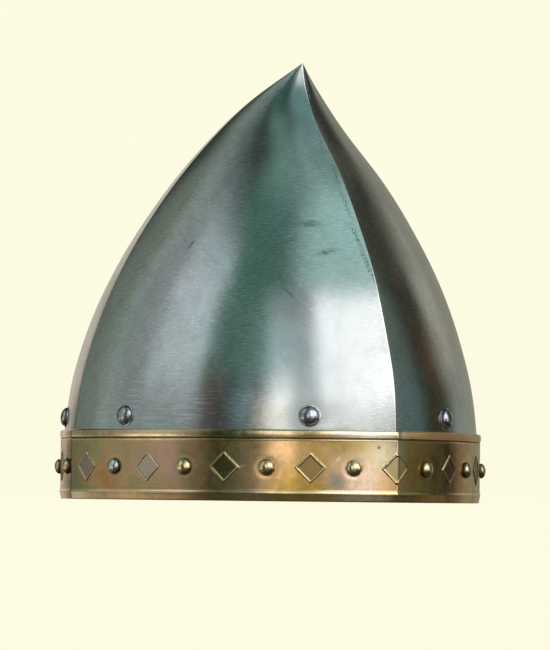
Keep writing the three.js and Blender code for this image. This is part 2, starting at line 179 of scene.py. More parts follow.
def shares_at(z):
    """Front, side and rear, and lead of the level cut at a height."""
    share = height_share(z)
    i = np.clip(np.searchsorted(KNOTS, share, side="right") - 1, 0, len(KNOTS) - 2)
    step = KNOTS[i + 1] - KNOTS[i]
    a = ((KNOTS[i + 1] - share) / step)[..., None]
    b = ((share - KNOTS[i]) / step)[..., None]
    bend = (a ** 3 - a) * BENDS[i] + (b ** 3 - b) * BENDS[i + 1]
    return a * SHARES[i] + b * SHARES[i + 1] + bend * (step * step / 6)[..., None]


def corners_at(z):
    """Front, side and rear corner of the level cut at a height, and the bulges between them."""
    front, back, lead = np.moveaxis(shares_at(z), -1, 0)
    middle = -lead * POINT_LEAD
    none = np.zeros_like(middle)
    bulges = [np.interp(height_share(z), (0, 1), ends) for ends in (FRONT_BULGES, REAR_BULGES)]
    return (np.stack([none, middle - front * FRONT_REACH], -1), np.stack([back * SIDE_REACH, middle], -1),
            np.stack([none, middle + back * REAR_REACH], -1), *bulges)


def plate_ends(plate, z):
    front, side, rear, front_bulge, rear_bulge = corners_at(z)
    return (front, side, front_bulge) if plate == "front" else (side, rear, rear_bulge)


def heading(angle):
    return np.stack([np.cos(angle), np.sin(angle)], -1)


def arc_parts(plate, z):
    """Centre, radius, first angle, turn and length of a plate's arc in the level cut."""
    start, end, bulge = plate_ends(plate, z)
    chord = end - start
    length = np.maximum(np.linalg.norm(chord, axis=-1), 1e-9)
    outward = np.stack([chord[..., 1], -chord[..., 0]], -1) / length[..., None]
    sagitta = bulge * length
    radius = (length ** 2 / 4 + sagitta ** 2) / (2 * sagitta)
    centre = (start + end) / 2 + outward * (sagitta - radius)[..., None]
    first = np.arctan2(start[..., 1] - centre[..., 1], start[..., 0] - centre[..., 0])
    turn = 4 * np.arctan(2 * bulge)
    return centre, radius, first, turn, radius * turn


def skull_point(plate, share, z):
    share, z = np.broadcast_arrays(np.asarray(share, float), np.asarray(z, float))
    centre, radius, first, turn, _ = arc_parts(plate, z)
    flat = centre + radius[..., None] * heading(first + share * turn)
    return np.concatenate([flat, z[..., None]], -1)


def unit(vectors):
    return vectors / np.maximum(np.linalg.norm(vectors, axis=-1, keepdims=True), 1e-12)


def skull_normal(plate, share, z):
    share, z = np.broadcast_arrays(np.asarray(share, float), np.asarray(z, float))
    level = np.minimum(z, HEIGHT - 1)
    probe, rise = 1e-3, 0.05
    along = skull_point(plate, share + probe, level) - skull_point(plate, share - probe, level)
    up = skull_point(plate, share, level + rise) - skull_point(plate, share, level - rise)
    normal = unit(np.cross(along, up))
    return np.where((z <= BAND_HEIGHT)[..., None], unit(normal * [1, 1, 0]), normal)


def smoothstep(value, low, high):
    t = np.clip((value - low) / (high - low), 0, 1)
    return t * t * (3 - 2 * t)


def bell(distance, width):
    return np.exp(-(distance / width) ** 2)


def mirror(points):
    return points * np.array([-1.0, 1.0, 1.0])


# Meshes

def grid_quads(rows, columns, first=0, flip=False):
    i, j = np.meshgrid(np.arange(rows - 1), np.arange(columns - 1), indexing="ij")
    a = (first + i * columns + j).ravel()
    quads = np.stack([a, a + 1, a + columns + 1, a + columns], -1)
    return quads[:, ::-1] if flip else quads


def make_object(name, points, faces, materials, attributes=None, smooth_angle=40, face_slots=None):
    """Object from points in millimetres and a list of faces."""
    mesh = bpy.data.meshes.new(name)
    points = np.reshape(points, (-1, 3)) + [0, SHIFT_Y, 0]
    counts = np.array([len(face) for face in faces])
    loops = np.concatenate(faces)
    mesh.vertices.add(len(points))
    mesh.vertices.foreach_set("co", (points * MM).astype(np.float32).ravel())
    mesh.loops.add(len(loops))
    mesh.loops.foreach_set("vertex_index", loops.astype(np.int32))
    mesh.polygons.add(len(counts))
    mesh.polygons.foreach_set("loop_start", (np.cumsum(counts) - counts).astype(np.int32))
    for key, values in (attributes or {}).items():
        values = np.asarray(values, np.float32)
        kind, field = ("FLOAT", "value") if values.ndim == 1 else ("FLOAT_VECTOR", "vector")
        mesh.attributes.new(key, kind, "POINT").data.foreach_set(field, values.ravel())
    for material in materials:
        mesh.materials.append(material)
    if face_slots is not None:
        mesh.polygons.foreach_set("material_index", np.asarray(face_slots, np.int32))
    mesh.polygons.foreach_set("use_smooth", np.ones(len(counts), bool))
    mesh.update(calc_edges=True)
    mesh.validate()
    mesh.set_sharp_from_angle(angle=math.radians(smooth_angle))
    piece = bpy.data.objects.new(name, mesh)
    bpy.context.scene.collection.objects.link(piece)
    return piece


def make_piece(node, slot, *parts, **settings):
    """The look of one CAD node, in its place."""
    piece = make_object("look_" + node, *parts, **settings)
    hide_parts(node)
    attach(piece, BODY)


def sheet_parts(outer, inner):
    """Points, quads and slots (0 outside and edges, 1 inside) of a closed sheet between two like grids."""
    rows, columns = outer.shape[:2]
    points = np.concatenate([outer.reshape(-1, 3), inner.reshape(-1, 3)])
    count = rows * columns
    grid = np.arange(count).reshape(rows, columns)
    edges = []
    for line, flip in ((grid[0], False), (grid[-1], True), (grid[:, 0], True), (grid[:, -1], False)):
        a, b = line[:-1], line[1:]
        quad = np.stack([a, a + count, b + count, b], -1)
        edges.append(quad[:, ::-1] if flip else quad)
    outside = grid_quads(rows, columns)
    inside = grid_quads(rows, columns, count, True)
    faces = np.concatenate([outside, inside, *edges])
    slots = np.zeros(len(faces), int)
    slots[len(outside):len(outside) + len(inside)] = 1
    return points, faces, slots


# Materials

def rgba(red, green, blue):
    return (red, green, blue, 1.0)


class Nodes:
    """A node tree, with short ways to add nodes."""

    def __init__(self, tree):
        self.tree = tree

    def add(self, kind, inputs=None, **settings):
        made = self.tree.nodes.new(kind)
        for key, value in settings.items():
            setattr(made, key, value)
        for key, value in (inputs or {}).items():
            self.put(made.inputs[key], value)
        return made

    def put(self, socket, value):
        if isinstance(value, bpy.types.NodeSocket):
            self.tree.links.new(value, socket)
        else:
            socket.default_value = value

    def math(self, operation, a, b=0.0):
        return self.add("ShaderNodeMath", {0: a, 1: b}, operation=operation).outputs[0]

    def times(self, a, b):
        return self.math("MULTIPLY", a, b)

    def plus(self, a, b):
        return self.math("ADD", a, b)

    def vector(self, operation, a, b=(0, 0, 0), output="Vector"):
        return self.add("ShaderNodeVectorMath", {0: a, 1: b}, operation=operation).outputs[output]

    def ramp(self, value, low, high, to_low=0.0, to_high=1.0):
        made = self.add("ShaderNodeMapRange", {"Value": value, "From Min": low, "From Max": high,
                                              "To Min": to_low, "To Max": to_high},
                        interpolation_type="SMOOTHSTEP")
        return made.outputs["Result"]


class Shader(Nodes):
    """A material's nodes; on a sheet they work along and up it, in millimetres."""

    def __init__(self, name, sheet=False):
        self.material = bpy.data.materials.new(name)
        self.material.use_nodes = True
        super().__init__(self.material.node_tree)
        self.surface = self.tree.nodes["Principled BSDF"]
        if sheet:
            self.flow = self.attribute("flow", "Vector")

    def set(self, **inputs):
        for key, value in inputs.items():
            self.put(self.surface.inputs[key.replace("_", " ")], value)

    def attribute(self, name, output="Fac"):
        return self.add("ShaderNodeAttribute", attribute_name=name).outputs[output]

    def mix(self, factor, a, b, blend="MIX"):
        made = self.add("ShaderNodeMix", {"Factor": factor, 6: a, 7: b}, data_type="RGBA", blend_type=blend)
        return made.outputs[2]

    def place(self, scale, turn=(0, 0, 0), source=None):
        """Coordinates in metres on the object, or those of a source, stretched by a scale."""
        vector = source or self.add("ShaderNodeTexCoord").outputs["Object"]
        made = self.add("ShaderNodeMapping", {"Vector": vector, "Scale": scale, "Rotation": turn})
        return made.outputs["Vector"]

    def noise(self, scale, detail, rough=0.5, distortion=0.0, **place):
        inputs = {"Vector": self.place(scale, **place), "Scale": 1.0, "Detail": detail, "Roughness": rough,
                  "Distortion": distortion}
        return self.add("ShaderNodeTexNoise", inputs).outputs["Fac"]

    def grain(self, scale, detail, rough=0.5, distortion=0.0, turn=0.0):
        """Noise along and up a sheet."""
        return self.noise((*scale, 1), detail, rough, distortion, turn=(0, 0, turn), source=self.flow)

    def spot(self, place, soft=0.5):
        """1 inside an oblong place on a sheet: along and up it, half length, half width and angle."""
        u, v, half_length, half_width, angle = place
        moved = self.vector("SUBTRACT", self.flow, (u, v, 0))
        turned = self.add("ShaderNodeMapping", {"Vector": moved, "Rotation": (0, 0, -angle)}).outputs[0]
        scaled = self.vector("MULTIPLY", turned, (1 / half_length, 1 / half_width, 0))
        return self.ramp(self.vector("LENGTH", scaled, output="Value"), 1 + soft, 1 - soft)

    def layers(self, colour, rows):
        """Colour under others, each of which sets in from a low to a high value, up to an amount."""
        for value, low, high, amount, own in rows:
            colour = self.mix(self.ramp(value, low, high, 0, amount), colour, rgba(*own))
        return colour

    def places(self, colour, rows, torn, soft=0.8, blend="MIX"):
        """Colour under others in oblong places, which show as far as they aren't torn away."""
        for *place, amount, own in rows:
            shape = self.times(self.spot(place, soft), torn)
            colour = self.mix(self.times(shape, amount), colour, rgba(*own), blend)
        return colour

    def relief(self, height, distance):
        return self.add("ShaderNodeBump", {"Height": height, "Distance": distance}).outputs["Normal"]

    def metal(self, colour, rough, height, distance):
        self.set(Base_Color=colour, Metallic=1.0, Roughness=rough, Normal=self.relief(height, distance))
        return self.material


# Darker at the point, on each plate
TIP_SPOT = (14, 203, 13, 24, 0)


def plate_steel(name, marks=(), scratches=(), tints=(), sweeps=(), smooth=()):
    """Satin steel with the short strokes of hand grinding, hazes, stains, a few marks, a painted sheen over
    sweeps of fine scratches and a painted highlight along the ridges.
    """
    s = Shader(name, sheet=True)
    edge = s.attribute("edge")
    haze = s.noise((11, 11, 7), 4, 0.55, 0.6)
    patch = s.noise((38, 38, 26), 5, 0.6, 0.4)
    stain = s.noise((70, 70, 50), 4, 0.6, 0.8, turn=(0.5, 0.3, 0))
    mottle = s.noise((150, 150, 130), 5, 0.65)
    brush = s.grain((0.22, 1.5), 4, 0.75, turn=0.12)
    cross = s.grain((0.3, 1.6), 4, 0.7, turn=0.7)
    back = s.grain((0.3, 1.5), 4, 0.7, turn=-0.5)
    smear = s.grain((0.3, 2.0), 2, turn=0.1)
    speck = s.grain((1.7, 1.1), 3, 0.65)
    strokes = s.mix(s.ramp(s.noise((24, 24, 24), 2), 0.42, 0.58), cross, back)
    strokes = s.times(s.plus(strokes, brush), 0.5)
    for *place, amount in smooth:
        strokes = s.mix(s.times(s.spot(place), amount), strokes, rgba(0.49, 0.49, 0.49))
    colour = s.mix(s.ramp(haze, 0.35, 0.65), rgba(0.51, 0.55, 0.545), rgba(0.6, 0.595, 0.6))
    colour = s.layers(colour, [
        (patch, 0.5, 0.72, 0.45, (0.45, 0.44, 0.41)),
        (patch, 0.45, 0.28, 0.4, (0.69, 0.7, 0.71)),
        (stain, 0.56, 0.7, 0.3, (0.46, 0.41, 0.42)),
        (stain, 0.44, 0.3, 0.22, (0.45, 0.55, 0.47)),
        (mottle, 0.45, 0.66, 0.26, (0.31, 0.35, 0.35)),
        (strokes, 0.5, 0.62, 0.48, (0.86, 0.88, 0.89)),
        (strokes, 0.48, 0.37, 0.42, (0.33, 0.36, 0.36)),
    ])
    for *place, amount in smooth:
        colour = s.mix(s.times(s.spot(place), amount * 1.2), colour, rgba(0.53, 0.55, 0.56))
    colour = s.places(colour, tints, s.ramp(patch, 0.25, 0.6, 0.3, 1.0), 0.9, "MULTIPLY")
    # Sweeps of fine scratches, painted as a bright bluish sheen
    for *place, amount in sweeps:
        streaks = s.grain((0.06, 0.8), 3, 0.6, turn=-place[-1])
        shape = s.times(s.spot(place, 0.8), s.ramp(streaks, 0.5, 0.66, 0, amount))
        colour = s.mix(shape, colour, rgba(0.92, 0.95, 0.98))
    dark = s.times(s.ramp(speck, 0.66, 0.74), s.ramp(stain, 0.6, 0.68, 0, 0.6))
    near = s.times(s.ramp(edge, 0.12, 0.5), s.ramp(edge, 0.98, 0.8))
    dark = s.math("MAXIMUM", dark, s.times(near, s.ramp(speck, 0.6, 0.7, 0, 0.6)))
    colour = s.mix(s.times(s.spot(TIP_SPOT, 0.6), 0.8), colour, rgba(0.15, 0.195, 0.2))
    for *place, amount, pitted in marks:
        shown = s.ramp(speck, 0.48, 0.6, 0, amount) if pitted else s.ramp(smear, 0.3, 0.7, 0, amount)
        colour = s.mix(s.times(s.spot(place, 0.8), shown), colour, rgba(0.08, 0.12, 0.125))
    colour = s.mix(dark, colour, rgba(0.07, 0.1, 0.1))
    for *place, amount in scratches:
        colour = s.mix(s.times(s.spot(place), amount), colour, rgba(0.9, 0.95, 0.93))
    # Painted highlight along the ridges
    colour = s.layers(colour, [(edge, 0.8, 1.0, 0.7, (0.9, 0.92, 0.91))])
    rough = s.plus(s.ramp(strokes, 0.35, 0.65, 0.155, 0.2), s.ramp(patch, 0.35, 0.7, 0, 0.06))
    height = s.plus(s.times(strokes, 1.6), s.times(mottle, 0.5))
    height = s.math("SUBTRACT", height, s.times(dark, 3.0))
    return s.metal(colour, s.plus(rough, s.times(dark, 0.25)), height, 0.000015)


def inner_steel():
    """Inside of the plates: dull, with scale left by the heat."""
    s = Shader("steel_inside")
    haze = s.noise((22, 22, 22), 6, 0.65, 1.0)
    colour = s.mix(s.ramp(haze, 0.35, 0.68), rgba(0.16, 0.155, 0.15), rgba(0.36, 0.35, 0.335))
    colour = s.layers(colour, [(haze, 0.62, 0.8, 0.5, (0.25, 0.15, 0.09))])
    return s.metal(colour, s.ramp(haze, 0.3, 0.7, 0.42, 0.62), s.noise((500, 500, 500), 2), 0.00002)


def band_brass(name, marks, middles):
    """Worn brass: gold and rosy patches, brown tarnish, dark diamond middles, painted shade in the grooves
    and painted highlights on the crests.
    """
    s = Shader(name, sheet=True)
    wear, sunk = s.attribute("wear"), s.attribute("sunk")
    cloud = s.grain((0.035, 0.022), 3, 0.55, 0.8)
    tarnish = s.grain((0.09, 0.11), 5, 0.6, 1.2, turn=1.0)
    patch = s.grain((0.11, 0.09), 5, 0.6, 0.7)
    blot = s.grain((0.26, 0.22), 4, 0.65, turn=0.5)
    streak = s.grain((1.2, 0.16), 4, 0.65)
    fine = s.grain((4.0, 2.6), 3, 0.7)
    along_on, height_on = s.add("ShaderNodeSeparateXYZ", {0: s.flow}).outputs[:2]
    colour = s.mix(s.ramp(cloud, 0.38, 0.62), rgba(0.72, 0.46, 0.155), rgba(0.74, 0.46, 0.22))
    colour = s.layers(colour, [
        (patch, 0.48, 0.68, 0.75, (0.5, 0.35, 0.1)),
        (patch, 0.44, 0.26, 0.65, (0.8, 0.47, 0.27)),
        (blot, 0.56, 0.74, 0.45, (0.38, 0.25, 0.09)),
        # The upper border painted lighter: a painted highlight
        (height_on, *UPPER_BORDER, 0.75, (0.98, 0.76, 0.47)),
        (streak, 0.35, 0.7, 0.15, (0.9, 0.7, 0.42)),
        (tarnish, 0.55, 0.66, 0.6, (0.34, 0.37, 0.15)),
        (tarnish, 0.45, 0.34, 0.6, (0.66, 0.38, 0.28)),
    ])
    colour = s.places(colour, marks, s.ramp(blot, 0.3, 0.6, 0.35, 1.0))
    middle = s.mix(s.ramp(fine, 0.35, 0.65), rgba(0.14, 0.11, 0.06), rgba(0.2, 0.15, 0.085))
    for run, own in middles:
        middle = s.mix(s.spot((run, MOTIF_HEIGHT, MOTIF_REACH, MOTIF_REACH, 0), 0.1), middle, rgba(*own))
    colour = s.mix(s.times(sunk, s.ramp(fine, 0.3, 0.7, 0.65, 0.95)), colour, middle)
    # Lighter where the value is above zero and darker where below: on the outside these are painted
    # highlights on the crests and painted shade in the grooves
    colour = s.layers(colour, [
        (wear, 0.05, 1.0, 0.9, (1.0, 0.82, 0.54)),
        (wear, -0.05, -1.0, 0.9, (0.07, 0.045, 0.02)),
    ])
    rough = s.plus(s.ramp(patch, 0.3, 0.7, 0.19, 0.3), s.ramp(wear, -0.1, -1.0, 0, 0.25))
    rough = s.plus(rough, s.times(sunk, 0.12))
    rough = s.math("SUBTRACT", rough, s.ramp(wear, 0.1, 1.0, 0, 0.08))
    # The upper border is duller from the front ridge on, towards the wearer's left
    rough = s.plus(rough, s.times(s.ramp(height_on, *UPPER_BORDER), s.ramp(along_on, 1.0, 4.0, 0, 0.22)))
    height = s.plus(s.plus(s.times(streak, 0.5), s.times(fine, 0.25)), s.times(patch, 2.0))
    return s.metal(colour, rough, height, 0.00002)


def rivet_metal(name, bright, dull, rim_colour, roughness):
    """Polished dome with dull patches, darker along the foot of its head."""
    s = Shader(name)
    wear = s.attribute("wear")
    patch = s.noise((420, 420, 420), 4, 0.6)
    colour = s.mix(s.ramp(patch, 0.42, 0.68), rgba(*bright), rgba(*dull))
    colour = s.layers(colour, [(wear, -0.05, -0.7, 0.8, rim_colour)])
    rough = s.plus(s.ramp(patch, 0.35, 0.7, roughness, roughness + 0.1), s.ramp(wear, -0.1, -1, 0, 0.3))
    return s.metal(colour, rough, s.plus(patch, s.times(s.noise((1800, 1800, 1800), 2), 0.12)), 0.00004)


def liner_leather(name, light, dark):
    """Vegetable-tanned leather: grain, creases and darker worn edges."""
    s = Shader(name)
    haze = s.noise((26, 26, 26), 5, 0.6)
    cells = s.add("ShaderNodeTexVoronoi", {"Vector": s.place((1100, 1100, 1100)), "Scale": 1.0},
                  feature="DISTANCE_TO_EDGE").outputs["Distance"]
    crease = s.noise((160, 160, 160), 5, 0.65)
    colour = s.mix(s.ramp(haze, 0.35, 0.68), rgba(*dark), rgba(*light))
    colour = s.layers(colour, [
        (crease, 0.55, 0.75, 0.4, (0.09, 0.045, 0.02)),
        (s.attribute("wear"), -0.1, -1.0, 0.8, (0.05, 0.025, 0.012)),
    ])
    height = s.plus(s.ramp(cells, 0.0, 0.25, 0, 0.5), s.times(crease, 1.2))
    s.set(Base_Color=colour, Roughness=s.ramp(haze, 0.3, 0.7, 0.5, 0.72), Normal=s.relief(height, 0.00018))
    s.set(Specular_IOR_Level=0.4)
    return s.material


# Skull plates

def ridge_bisector(plate, at_end, z):
    """A plate's own outward direction at its start or end, and that of the ridge, in the level cut."""
    _, _, first, turn, _ = arc_parts(plate, z)
    own = heading(first + (turn if at_end else 0))
    other = own * [-1, 1]
    if (plate == "front") == at_end:
        _, _, first, turn, _ = arc_parts("rear" if at_end else "front", z)
        other = heading(first + (0 if at_end else turn))
    return own, unit(own + other)


def plate_grid(plate, levels):
    """Outer points with rounded ridges, the place along the arc of each point, and the length of the arcs."""
    centre, radius, first, turn, length = arc_parts(plate, levels)
    rounding = np.minimum(RIDGE_RADIUS, RIDGE_RADIUS_SHARE * length)
    reaches, rings = [], []
    for at_end in (False, True):
        own, middle = ridge_bisector(plate, at_end, levels)
        reach = rounding * np.tan(np.arccos(np.clip((own * middle).sum(-1), -1, 1)))
        tangent = np.stack([-own[:, 1], own[:, 0]], -1) * (-1 if at_end else 1)
        hub = plate_ends(plate, levels)[at_end] + tangent * reach[:, None] - own * rounding[:, None]
        reaches.append(reach)
        rings.append([(hub + unit(middle * (1 - part) + own * part) * rounding[:, None], reach * part)
                      for part in (0.0, 0.35, 0.7)])
    columns = rings[0]
    for share in np.linspace(0, 1, PLATE_COLUMNS + 1):
        place = reaches[0] + share * (length - reaches[0] - reaches[1])
        columns.append((centre + radius[:, None] * heading(first + place / length * turn), place))
    columns += [(flat, length - place) for flat, place in reversed(rings[1])]
    flat, places = (np.stack(part, 1) for part in zip(*columns))
    z = np.repeat(levels[:, None], len(columns), 1)[..., None]
    return np.concatenate([flat, z], -1), places, length


# Unevenness of hammered and ground sheet: size, amount and seed
WOBBLES = ((62.0, 0.34, 3.1), (27.0, 0.11, 17.7), (11.0, 0.022, 41.3))


def wobble(points):
    return sum(amount * np.array([noise.noise(Vector((p + seed * 10) / size)) for p in points])
               for size, amount, seed in WOBBLES)


def liner_sites():
    sites = []
    for side in ("left", "right"):
        for i in range(4):
            plate = "front" if i < 2 else "rear"
            share = LINER_RIVET_SHARES[i] if i < 2 else 1 - LINER_RIVET_SHARES[i - 2]
            point = skull_point(plate, share, LINER_RIVET_HEIGHT)
            normal = skull_normal(plate, share, LINER_RIVET_HEIGHT)
            if side == "right":
                point, normal = mirror(point), mirror(normal)
            sites.append({"name": f"{side}_{i + 1}", "side": side, "plate": plate, "share": share,
                          "point": point, "normal": normal})
    return sites


LINER_SITES = liner_sites()


def plate_levels():
    """Heights of a plate's rows: closer at the foot, and ever closer towards the point."""
    body = np.linspace(BODY_START, TIP_START, BODY_ROWS)
    tip = TIP_START + (HEIGHT - TIP_START) * (1 - (1 - np.linspace(0, 1, TIP_ROWS + 1)[1:]) ** TIP_CROWDING)
    levels = np.concatenate([FOOT_LEVELS, body, tip])
    levels[-1] = HEIGHT - TIP_GAP
    return levels


def plate_lift(side, plate, world, z, from_ridge):
    """How far the hammered sheet stands over its true form, away from the band, the ridges and the tip."""
    fade = smoothstep(z - BAND_HEIGHT, *BAND_FADE) * smoothstep(HEIGHT - z, *TIP_FADE)
    fade *= RIDGE_WOBBLE + (1 - RIDGE_WOBBLE) * smoothstep(from_ridge, 0, RIDGE_FADE)
    lift = wobble(world.reshape(-1, 3)).reshape(z.shape) * fade
    for site in LINER_SITES:
        if site["side"] == side and site["plate"] == plate:
            away = np.linalg.norm(world - site["point"], axis=-1)
            dimple = LINER_RIVET_DIMPLE * bell(away, DIMPLE_REACH)
            lift -= dimple * smoothstep(z, BAND_HEIGHT, BAND_HEIGHT + 3)
    return lift[..., None]


def plate_inside(plate, share, z):
    """Inside of a plate: one wall below the outside, and a slimmer copy of it in the narrow tip."""
    level = np.minimum(z, BAND_HEIGHT) + np.maximum(z - BAND_HEIGHT, 0) * (
        CROWN_INSIDE - BAND_HEIGHT) / (HEIGHT - BAND_HEIGHT)
    rows = level[:, 0]
    length = arc_parts(plate, rows)[4]
    margins = []
    for at_end in (False, True):
        own, middle = ridge_bisector(plate, at_end, rows)
        cosine = np.clip((own * middle).sum(-1), 0.2, 1)
        margins.append((WALL * np.sqrt(1 - cosine ** 2) / cosine / length)[:, None])
    inner_share = margins[0] + share * np.maximum(1 - margins[0] - margins[1], 0.05)
    square = skull_point(plate, inner_share, level) - WALL * skull_normal(plate, inner_share, level)
    front, side, rear = corners_at(rows)[:3]
    middle_y = (front[:, 1:] + rear[:, 1:]) / 2
    half_long = (rear[:, 1:] - front[:, 1:]) / 2
    across = half_long * side[:, :1] / np.hypot(half_long, side[:, :1])
    shrink = np.clip(1 - 1.3 * WALL / across, 0.02, 1)
    slim = skull_point(plate, share, level)
    slim[..., 0] *= shrink
    slim[..., 1] = middle_y + (slim[..., 1] - middle_y) * shrink
    wide = smoothstep(length, *SLENDER)[:, None, None]
    return slim * (1 - wide) + square * wide


def make_plate(side, plate, materials):
    levels = plate_levels()
    outer, places, length = plate_grid(plate, levels)
    share = places / length[:, None]
    z = np.repeat(levels[:, None], share.shape[1], 1)
    from_ridge = np.minimum(places, length[:, None] - places)
    world = mirror(outer) if side == "right" else outer
    rise = skull_normal(plate, share, z) * plate_lift(side, plate, world, z, from_ridge)
    outer, inner = outer + rise, plate_inside(plate, share, z) + rise
    layer = np.full_like(z, 3.0 * (side == "left") + (plate == "rear"))
    flow = np.stack([places - length[:, None] / 2, z, layer], -1)
    # Nearness to a ridge, for the painted highlight along the ridges and the dark specks near them
    edge = np.exp(-from_ridge / RIDGE_HIGHLIGHT_REACH)
    if side == "right":
        outer, inner, flow = (mirror(part)[:, ::-1] for part in (outer, inner, flow))
        edge = edge[:, ::-1]
    points, faces, slots = sheet_parts(outer, inner)
    attributes = {"flow": np.tile(flow.reshape(-1, 3), (2, 1)), "edge": np.tile(edge.ravel(), 2)}
    make_piece(f"skull_plate_{plate}_{side}", "plate_steel", points, faces, materials, attributes, 30, slots)


# Brow band: places along it run from the front ridge, positive on the +X side

FRONT_ARC = float(arc_parts("front", np.array([0.0]))[4][0])
REAR_ARC = float(arc_parts("rear", np.array([0.0]))[4][0])
HALF_ROUND = FRONT_ARC + REAR_ARC
PITCH = 2 * HALF_ROUND / MOTIFS
DIAMOND_RUNS = [(i - MOTIFS // 2) * PITCH for i in range(MOTIFS)]
RIVET_RUNS = [run + PITCH / 2 for run in DIAMOND_RUNS]


def ridge_offset(plate, share):
    """Outward direction at the rim, lengthened at the ridges so that a sheet keeps its thickness."""
    own = skull_normal(plate, share, 0.0)
    other = own.copy()
    if plate == "front" and share == 1:
        other = skull_normal("rear", 0.0, 0.0)
    elif plate == "rear" and share == 0:
        other = skull_normal("front", 1.0, 0.0)
    elif share in (0, 1):
        other = mirror(own)
    middle = unit(own + other)
    return middle / (middle @ own)


def band_frame(run):
    """Point at the rim and outward direction at a place along the band."""
    wrapped = run - 2 * HALF_ROUND * np.sign(run) if abs(run) > HALF_ROUND + 1e-9 else run
    along = min(abs(wrapped), HALF_ROUND)
    plate = "front" if along <= FRONT_ARC else "rear"
    share = along / FRONT_ARC if plate == "front" else (along - FRONT_ARC) / REAR_ARC
    share = min(max(share, 0.0), 1.0)
    point, direction = skull_point(plate, share, 0.0), ridge_offset(plate, share)
    return (mirror(point), mirror(direction)) if wrapped < 0 else (point, direction)


def lap_lift(run):
    start = HALF_ROUND - LAP - JOGGLE
    return smoothstep(run, start, start + JOGGLE) * (BAND_SHEET + SEAT_GAP)


# Height up the band and rise over its field
BORDER_PROFILE = np.array([
    (0.0, -0.7), (0.15, -0.5), (0.5, -0.38), (1.6, -0.16), (2.8, 0.08), (3.5, 0.25), (3.8, 0.3), (4.1, 0.28),
    (4.5, 0.2), (4.9, 0.1), (5.3, 0.03), (5.8, 0.0), (6.5, 0.0),
    (27.8, 0.0), (28.6, 0.02), (29.0, 0.08), (29.25, 0.06), (29.5, -0.15), (29.7, -0.3), (29.85, -0.28),
    (30.0, 0.0), (30.15, 0.12), (30.3, 0.2), (31.4, 0.32), (31.8, 0.34), (32.2, 0.33), (33.3, 0.22),
    (33.5, 0.1), (33.75, -0.2), (34.0, -0.85),
])
# Height, reach and amount of the painted highlights on the crests and of the painted shade in the grooves
BORDER_HIGHLIGHTS_AND_SHADE = [(4.4, 0.45, 0.95), (5.9, 0.25, -0.35), (29.1, 0.22, 0.6), (29.75, 0.2, -1.0), (30.5, 0.3, 0.5),
               (33.6, 0.4, 0.5)]
# Heights on the inside of the band and how far it draws back there from the plates
BAND_INSIDE = np.array([(0.0, 0.25), (5.0, 0.0), (17.0, 0.0), (29.0, 0.0), (34.0, 0.1)])


def diamond_rise(across, up):
    """Rise of the raised outline and the flat middle of a diamond, and the way in from its edge."""
    half_width, half_height = DIAMOND_WIDTH / 2, DIAMOND_HEIGHT / 2
    inside = 1 - np.abs(across) / half_width - np.abs(up) / half_height
    depth = inside * half_width * half_height / math.hypot(half_width, half_height)
    return smoothstep(depth, 0.0, 0.35) * 0.5 - smoothstep(depth, 0.8, 1.15) * 0.38, depth


def band_runs():
    """Places along the band for its columns: closer at the diamonds, and exact at the folds and the ends."""
    half = {FOLD_STEP, FRONT_ARC - FOLD_STEP, FRONT_ARC + FOLD_STEP}
    for start, end in ((0, FRONT_ARC), (FRONT_ARC, HALF_ROUND)):
        half.update(np.linspace(start, end, int((end - start) / COLUMN_STEP)))
    half.update(HALF_ROUND + np.linspace(0, LAP, 8))
    runs = half | {-run for run in half}
    for run in DIAMOND_RUNS:
        runs.update(run + np.arange(-EMBOSS_REACH, EMBOSS_REACH + 0.01, 0.25))
    fixed = {sign * run for run in (0.0, FRONT_ARC, HALF_ROUND, HALF_ROUND + LAP) for sign in (1, -1)}
    kept = []
    for run in sorted(runs | fixed):
        near_fixed = min(abs(run - f) for f in fixed)
        if run in fixed or (near_fixed >= 0.12 and not (kept and run - kept[-1] < 0.12)):
            kept.append(run)
    return np.array(kept)


def band_levels():
    """Heights of the band's rows: closer at the borders and over the diamonds."""
    levels = np.unique(np.concatenate([
        BORDER_PROFILE[:, 0], np.linspace(0, 6.5, 27), np.linspace(27.8, BAND_HEIGHT, 40),
        np.arange(MOTIF_HEIGHT - EMBOSS_REACH, MOTIF_HEIGHT + EMBOSS_REACH + 0.01, 0.26)]).round(3))
    return np.array([z for i, z in enumerate(levels) if i == 0 or z - levels[i - 1] > 0.05])


